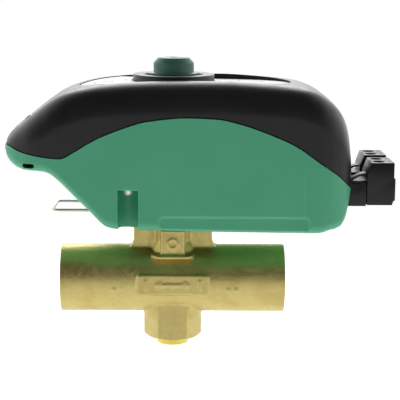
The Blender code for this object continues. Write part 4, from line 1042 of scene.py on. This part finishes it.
def make_badge():
    """Blank plate on the nose and the small dark lens in it."""
    plate = thin_plate("badge", [badge_outline(0.0)], 0.2, 0.5)
    lean = Vector((-1.0, 0.0, 1.25)).normalized()
    centre = Vector((LENS_X, 0.0, along(CROWN, LENS_X)))
    hole = rod("hole", centre - lean * 3, centre + lean * 3, LENS_R + 0.25)
    show(cut(plate, hole), "badge_film", "valve", "black_plastic", "badge_plate", finish=GLOSS_FILM)
    profile = [
        (0.0, 0.42), (0.9, 0.36), (LENS_R - 0.55, 0.2), (LENS_R - 0.1, -0.1), (LENS_R, -0.4), (0.0, -0.4),
    ]
    lens = turned("lens", profile, 48)
    turn = Vector((0, 0, 1)).rotation_difference(lean).to_matrix().to_4x4()
    lens.data.transform(Matrix.Translation(centre * MM) @ turn)
    show(lens, "status_lens", "valve", "smoked_lens", "indicator_lens")


# ---------------------------------------------------------------- collar and knob


def make_collar():
    """The raised cup that the knob stands in, with a rounded rim."""
    profile = [
        (COLLAR_R - 0.25, COLLAR_TOP), (COLLAR_R - 0.07, COLLAR_TOP - 0.07), (COLLAR_R, COLLAR_TOP - 0.25),
        (COLLAR_R, COLLAR_SEAT),
        (COLLAR_SPIGOT_R, COLLAR_SEAT), (COLLAR_SPIGOT_R, COLLAR_FOOT), (SHAFT_R + 0.3, COLLAR_FOOT),
        (SHAFT_R + 0.3, COLLAR_FOOT + 1.0), (10.4, COLLAR_FOOT + 1.0), (11.3, COLLAR_TOP - 0.2),
        (11.7, COLLAR_TOP),
    ]
    show(turned("collar", profile, 128), "collar_cup", "valve", "black_plastic", "collar_ring")


def make_knob():
    """Round knob with a chamfered top, a centre dimple and a flange below."""
    outside = eased(
        [
            (0.0, KNOB_TOP - 0.6), (1.1, KNOB_TOP - 0.5), (1.5, KNOB_TOP), (5.9, KNOB_TOP),
            (KNOB_R, KNOB_TOP - 2.0), (KNOB_R, KNOB_FLANGE_Z + 0.95), (KNOB_FLANGE_R, KNOB_FLANGE_Z + 0.8),
            (KNOB_FLANGE_R, KNOB_FLANGE_Z), (6.5, KNOB_FLANGE_Z), (6.5, KNOB_SKIRT_Z),
            (SPLINE_R + 0.3, KNOB_SKIRT_Z),
        ],
        0.32,
    )
    inside = [(SPLINE_R + 0.3, SPLINE_TOP + 1.6), (0.0, SPLINE_TOP + 1.6)]
    show(turned("knob", outside + inside, 128), "knob_cap", "knob", "dark_green_plastic", "knob")


# ---------------------------------------------------------------- brass


def flow_arrow(front):
    """A plain double-headed arrow and two bars, standing proud of the pad."""
    head = 1.5
    shapes = []
    for side in (-1, 1):
        tip = side * 6.6
        base = tip - side * 2.1
        shapes.append([(tip, -0.2), (base, head - 0.2), (base, -head - 0.2)])
    shapes.append(bar(0.0, -0.2, 9.6, 0.75))
    shapes.append(bar(-10.4, -0.2, 0.8, 3.6))
    shapes.append(bar(10.4, -0.2, 0.8, 3.6))
    low_y, high_y = span(front, TUBE_R - 0.6, TUBE_R + PAD_RAISE + MARK_RAISE)
    return [extruded("mark", [shape], low_y, high_y, axis="Y") for shape in shapes]


def port_pips(front):
    """One pip by the left port and two by the right, in place of letters."""
    inner, outer = front * (TUBE_R - 2), front * (TUBE_R + 0.2)
    return [
        rod("pip", (x, inner, PIP_Z), (x, outer, PIP_Z), PIP_R, 24, end_radius=PIP_R / 2)
        for x in (-22.4, 21.4, 24.2)
    ]


def make_casting():
    """The forged body: fused from plain forms, blended like a casting, then machined."""
    foot = TUBE_R - 1.2
    outline = [(NECK_HALF, NECK_TOP + 2), (NECK_HALF, foot + NECK_FILLET)]
    for i in range(1, 13):
        a = math.pi / 2 * i / 12
        x = NECK_HALF + NECK_FILLET * (1 - math.cos(a))
        outline.append((x, foot + NECK_FILLET * (1 - math.sin(a))))
    outline += [(NECK_HALF + NECK_FILLET, 5.0)]
    outline += [(-x, z) for x, z in reversed(outline)]
    ledge = rounded_rectangle((-LEDGE_HALF, -LEDGE_FRONT), (LEDGE_HALF, LEDGE_FRONT), LEDGE_CORNER)
    shoulder = rod(
        "shoulder", (0, 0, SHOULDER_BOTTOM), (0, 0, SHOULDER_TOP), SHOULDER_R, 96, end_radius=SHOULDER_TOP_R,
    )
    for side in (-1, 1):
        near, far = span(side, SHOULDER_HALF, 20.0)
        shoulder = cut(shoulder, box("flat", (-20, near, -20), (20, far, 0)))
    parts = [
        rod("tube", (-TUBE_HALF - 2, 0, 0), (TUBE_HALF + 2, 0, 0), TUBE_R, 128),
        extruded("neck", [outline], -NECK_THICK / 2, NECK_THICK / 2, axis="Y"),
        rod("column", (0, 0, 3), (0, 0, NECK_TOP + 2), COLUMN_R, 64),
        rod("flare", (0, 0, FLARE_BOTTOM), (0, 0, FLARE_TOP), FLARE_R, 96, end_radius=COLUMN_R - 0.3),
        extruded("ledge", [ledge], LEDGE_LOW, LEDGE_Z),
        box("tab", (-TAB_HALF, -TAB_FRONT, LEDGE_LOW + 0.5), (TAB_HALF, TAB_FRONT, NECK_TOP + 2)),
        extruded("hexagon", [circle(HEX_FLATS / math.sqrt(3), 6)], HEX_BOTTOM - 1, -4.0),
        shoulder,
    ]
    for front in (-1, 1):
        ends = span(front, TUBE_R + PAD_RAISE, TUBE_R - 2.2)
        pad = rounded_rectangle((-PAD_HALF, PAD_LOW), (PAD_HALF, PAD_HIGH), 1.4)
        parts.append(extruded("pad", [pad], ends[0], ends[1], axis="Y"))
        parts += flow_arrow(front) + port_pips(front)
        rim = turned("rim", [(2.0, -0.6), (2.0, 0.35), (1.45, 0.35), (1.45, -0.6)], 32)
        rim.data.transform(Matrix.Rotation(front * -math.pi / 2, 4, "X"))
        rim.data.transform(Matrix.Translation(Vector((0.0, front * TAB_FRONT, 15.4)) * MM))
        parts.append(rim)
    bm = bmesh.new()
    for part in parts:
        bm.from_mesh(part.data)
        bpy.data.objects.remove(part, do_unlink=True)
    body = from_bmesh("casting", bm)
    remesh = body.modifiers.new("fuse", "REMESH")
    remesh.mode = "VOXEL"
    remesh.voxel_size = CAST_VOXEL * MM
    smooth = body.modifiers.new("soften", "SMOOTH")
    smooth.factor = 0.5
    smooth.iterations = 6
    body = bake(body)
    return machined(body)


def machined(body):
    """Cut the casting's bored, faced and threaded places sharp."""
    end, stop = TUBE_HALF + 4.0, TUBE_HALF - SOCKET_DEPTH
    left = [
        (CHAMBER_R, CHAMBER_LEFT), (WATERWAY_R, CHAMBER_LEFT), (WATERWAY_R, -stop), (SOCKET_R, -stop),
        (SOCKET_R, -TUBE_HALF + 0.4), (SOCKET_R + 0.4, -TUBE_HALF), (SOCKET_R + 0.4, -end), (0.0, -end),
    ]
    right = [
        (0.0, end), (SOCKET_R + 0.4, end), (SOCKET_R + 0.4, TUBE_HALF), (SOCKET_R, TUBE_HALF - 0.4),
        (SOCKET_R, stop), (CHAMBER_R, stop), (CHAMBER_R, 0.0),
    ]
    body = cut(body, turned("bore", right + left, 96, axis="X"))
    for side in (-1, 1):
        face = span(side, TUBE_HALF, TUBE_HALF + 8.0)
        body = cut(body, box("face", (face[0], -20, -20), (face[1], 20, 20)))
    body = cut(body, box("top", (-30, -20, NECK_TOP), (30, 20, NECK_TOP + 6)))
    under = turned(
        "under",
        [
            (0.0, HEX_BOTTOM), (HEX_CHAMFER_R, HEX_BOTTOM), (14.0, HEX_BOTTOM + HEX_CHAMFER),
            (14.0, HEX_BOTTOM - 5), (0.0, HEX_BOTTOM - 5),
        ],
        96,
    )
    stem = turned("stem", [(0.0, 33.0), (5.1, 33.0), (5.1, 24.0), (3.5, 24.0), (3.5, 5.0), (0.0, 5.0)], 64)
    drain = turned("drain", [(0.0, -6.0), (4.7, -6.0), (4.7, -24.5), (0.0, -24.5)], 64)
    body = cut(body, under, stem, drain)
    for side in (-1, 1):
        for inner, bottom, top in (
            (CLIP_HALF - WIRE_R - 0.3, CLIP_Z - WIRE_R - 0.3, CLIP_Z + WIRE_R + 0.3),
            (TAB_RELIEF_Y, TAB_RELIEF_LOW, TAB_RELIEF_HIGH),
        ):
            near, far = span(side, inner, TAB_FRONT + 1)
            body = cut(body, box("groove", (-TAB_HALF - 1, near, bottom), (TAB_HALF + 1, far, top)))
    return show(body, "brass_casting", "valve", "blasted_brass", "valve_body", angle=40.0)


def make_disc():
    """Turned plug under the hexagon."""
    profile = eased(
        [
            (0.0, PLUG_STEM_TOP), (PLUG_STEM_R, PLUG_STEM_TOP), (PLUG_STEM_R, DISC_TOP),
            (DISC_R + 0.7, DISC_TOP), (DISC_R + 0.7, DISC_TOP - 0.6), (DISC_R, DISC_TOP - 0.8),
            (DISC_R, DISC_BOTTOM + 0.35), (DISC_R - 0.4, DISC_BOTTOM), (2.4, DISC_BOTTOM),
            (2.1, DISC_BOTTOM + 0.5), (0.0, DISC_BOTTOM + 0.5),
        ],
        0.12, 3,
    )
    show(turned("disc", profile, 96), "turned_plug", "valve", "bright_brass", "bottom_plug")


def make_ball():
    """Polished ball with its port and stem slot."""
    bm = bmesh.new()
    bmesh.ops.create_uvsphere(bm, u_segments=64, v_segments=32, radius=BALL_R * MM)
    ball = from_bmesh("ball", bm)
    port = rod("port", (-12, 0, 0), (12, 0, 0), PORT_R, 64)
    slot = box("slot", (-4.2, -1.8, 7.0), (4.2, 1.8, 11.0))
    show(cut(ball, port, slot), "polished_ball", "ball_and_stem", "steel", "ball")


def make_clip():
    """U of spring wire that locks the head on the neck."""
    route = [(CLIP_IN - 0.01, -CLIP_HALF)]
    for corner, start in ((-1, 1.5), (1, 1.0)):
        centre = (CLIP_OUT + CLIP_BEND, corner * (CLIP_HALF - CLIP_BEND))
        for i in range(13):
            a = math.pi * (start - i / 24)
            route.append((centre[0] + CLIP_BEND * math.cos(a), centre[1] + CLIP_BEND * math.sin(a)))
    route.append((CLIP_IN - 0.01, CLIP_HALF))
    curve = bpy.data.curves.new("clip", "CURVE")
    curve.dimensions = "3D"
    curve.bevel_depth = WIRE_R * MM
    curve.bevel_resolution = 6
    curve.use_fill_caps = True
    spline = curve.splines.new("POLY")
    spline.points.add(len(route) - 1)
    for point, (x, y) in zip(spline.points, route):
        point.co = (x * MM, y * MM, CLIP_Z * MM, 1.0)
    show(bake(link("clip", curve)), "spring_clip", "clip", "spring_wire", "wire_clip")


# ---------------------------------------------------------------- terminals and screws


def make_header():
    """Fixed half of the terminals: pin recesses, a lipped top and thin ribs."""
    profile = [
        (HEADER_LEFT, HEADER_BOTTOM), (HEADER_RIGHT, HEADER_BOTTOM), (HEADER_RIGHT, HEADER_LEDGE_Z),
        (HEADER_RIGHT - HEADER_LEDGE, HEADER_LEDGE_Z), (HEADER_RIGHT - HEADER_LEDGE, HEADER_ROOF),
        (HEADER_LEFT, HEADER_ROOF),
    ]
    header = extruded("header", [profile], -HEADER_HALF, HEADER_HALF, axis="Y")
    for side in (-1, 1):
        ends = span(side, PLUG_NEAR + 1.6, PLUG_FAR - 1.6)
        header = cut(header, box("recess", (66.5, ends[0], 34.6), (80.0, ends[1], 41.6)))
    header = bevel(header, 0.18, 2)
    show(header, "header_block", "valve", "black_plastic", "terminal_header")
    arc = []
    for i in range(13):
        t = i / 12
        arc.append((66.7 + (HEADER_RIGHT - 66.9) * t, 42.0 + 2.3 * math.sin(t * math.pi / 2)))
    outline = arc + [(x, z - 0.8) for x, z in reversed(arc)]
    for number, y in enumerate((-HEADER_HALF + 0.4, PLUG_NEAR + 0.4), start=1):
        lug = bevel(extruded("lug", [outline], y, y + LUG_WIDTH, axis="Y"), 0.12, 2)
        show(lug, f"header_lug_{number}", "valve", "black_plastic")
    rib_places = (-HEADER_HALF + 0.6, -PLUG_NEAR - 1.4, PLUG_NEAR + 0.4, HEADER_HALF - 1.4)
    for number, y in enumerate(rib_places, start=1):
        rib = bevel(box("rib", (66.7, y, 40.2), (HEADER_RIGHT - 1.4, y + 0.8, 41.2)), 0.1, 2)
        show(rib, f"header_rib_{number}", "valve", "black_plastic")


def plug_profile():
    """Side view of a plug: sloping inner top edge and a foot on its right."""
    return [
        (PLUG_LEFT, PLUG_LOW), (PLUG_RIGHT - 0.6, PLUG_LOW), (PLUG_RIGHT, PLUG_LOW + 1.7),
        (PLUG_FOOT, PLUG_LOW + 1.7), (PLUG_FOOT, 42.2), (PLUG_RIGHT, 42.2),
        (PLUG_RIGHT, PLUG_HIGH), (74.1, PLUG_HIGH), (PLUG_LEFT, 43.6),
    ]


def make_plugs():
    """Pull-off plugs with wire entries, clamp cages, screws and probe holes."""
    number = 0
    for body, side in (("front_plug", -1), ("back_plug", 1)):
        first, second = span(side, PLUG_NEAR, PLUG_FAR)
        middle = (first + second) / 2
        poles = (middle - POLE_PITCH / 2, middle + POLE_PITCH / 2)
        plug = bevel(extruded("plug", [plug_profile()], first, second, axis="Y"), 0.28, 3)
        tongue = box("tongue", (67.0, first + 2.1, 35.1), (PLUG_LEFT + 1.0, second - 2.1, 41.1))
        plug = boolean(plug, tongue, "UNION")
        plug = cut(plug, box("split", (73.0, middle - 0.25, 46.9), (90.0, middle + 0.25, 50.0)))
        plug = cut(plug, box("split", (81.9, middle - 0.25, 33.0), (90.0, middle + 0.25, 50.0)))
        for y in poles:
            entry = bevel(box("entry", (76.0, y - 2.6, 34.6), (90.0, y + 2.6, 40.4)), 0.4, 2)
            mouth = loft("mouth", [
                [Vector((x * MM, (y + u * (2.6 + g)) * MM, (37.5 + v * (2.9 + g)) * MM))
                 for u, v in ((-1, -1), (1, -1), (1, 1), (-1, 1))]
                for x, g in ((PLUG_FOOT - 0.6, 0.0), (PLUG_FOOT + 0.6, 1.0))
            ])
            well = rod("well", (CLAMP_SCREW_X, y, 44.2), (CLAMP_SCREW_X, y, 50.0), 2.1)
            sink = rod("sink", (CLAMP_SCREW_X, y, 47.7), (CLAMP_SCREW_X, y, 48.6), 2.1, end_radius=3.0)
            probe = rod("probe", (PROBE_X, y, 45.0), (PROBE_X, y, 50.0), 0.6, 24)
            plug = cut(plug, entry, mouth, well, sink, probe)
        show(plug, body + "_housing", body, "black_plastic", "plug_front" if side < 0 else "plug_back")
        for y in poles:
            number += 1
            make_clamp(number, body, y)


def make_clamp(number, body, y):
    """One pole: a slotted clamp screw in its well and the cage that it closes."""
    top = SCREW_TOP
    profile = eased([(0.0, top), (1.5, top), (1.8, top - 0.3), (1.8, 44.5), (0.0, 44.5)], 0.15, 3)
    head = turned("head", profile, 48, centre=(CLAMP_SCREW_X, y))
    slot = box("slot", (CLAMP_SCREW_X - 3, y - 0.3, top - 0.8), (CLAMP_SCREW_X + 3, y + 0.3, top + 1.0))
    slot.data.transform(Matrix.Translation(Vector((-CLAMP_SCREW_X, -y, 0.0)) * MM))
    slot.data.transform(Matrix.Rotation(math.radians(25.0 * number), 4, "Z"))
    slot.data.transform(Matrix.Translation(Vector((CLAMP_SCREW_X, y, 0.0)) * MM))
    show(cut(head, slot), f"clamp_screw_{number}", body, "steel", f"terminal_screw_{number}")
    cage = cut(
        box("cage", (76.6, y - 2.35, 34.85), (80.4, y + 2.35, 40.15)),
        box("inside", (76.0, y - 1.75, 35.5), (82.0, y + 1.75, 39.4)),
    )
    show(bevel(cage, 0.15, 2), f"clamp_cage_{number}", body, "steel")


def make_cover_screws():
    """Cross-slotted screws that hold the cover, one in each channel."""
    for name, side in (("front", -1), ("back", 1)):
        y = side * CHANNEL_Y
        top = CHANNEL_TOP - 0.3
        turns = [i * math.pi / 16 for i in range(9)]
        dome = [(2.1 * math.cos(a), top - 0.5 - 1.7 * math.sin(a)) for a in turns]
        profile = [(0.0, 50.5), (1.3, 49.6), (1.3, top), (2.1, top), *dome]
        screw = turned("screw", profile, 48, centre=(CHANNEL_X, y))
        for turn in (35.0, 125.0):
            blade = box("blade", (-1.3, -0.28, top - 3.0), (1.3, 0.28, top - 1.2))
            spin(blade, turn, (CHANNEL_X, y))
            screw = cut(screw, blade)
        show(screw, f"cross_screw_{name}", "valve", "steel", f"cover_screw_{name}", finish=ZINC)


# ---------------------------------------------------------------- scene


def dress_packed_nodes():
    """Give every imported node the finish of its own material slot."""
    for part in frame["record"]["subparts"]:
        obj = frame["nodes"][part["node"]]
        obj.data.materials.clear()
        obj.data.materials.append(MATERIALS[part["material_slot"]])


def main():
    """Build the camera, the studio and every visible piece."""
    make_camera()
    make_world()
    make_light("back_box", BACK_LIGHT_PLACE, BACK_LIGHT_AIM, BACK_LIGHT_SIZE, BACK_LIGHT_POWER)
    make_floor(floor_finish())
    dress_packed_nodes()
    make_casing()
    make_cover()
    make_label()
    make_label_print()
    make_badge()
    make_collar()
    make_knob()
    make_casting()
    make_disc()
    make_ball()
    make_clip()
    make_header()
    make_plugs()
    make_cover_screws()
    scene = bpy.context.scene
    scene.view_settings.view_transform = "Standard"
    scene.view_settings.look = "None"


main()
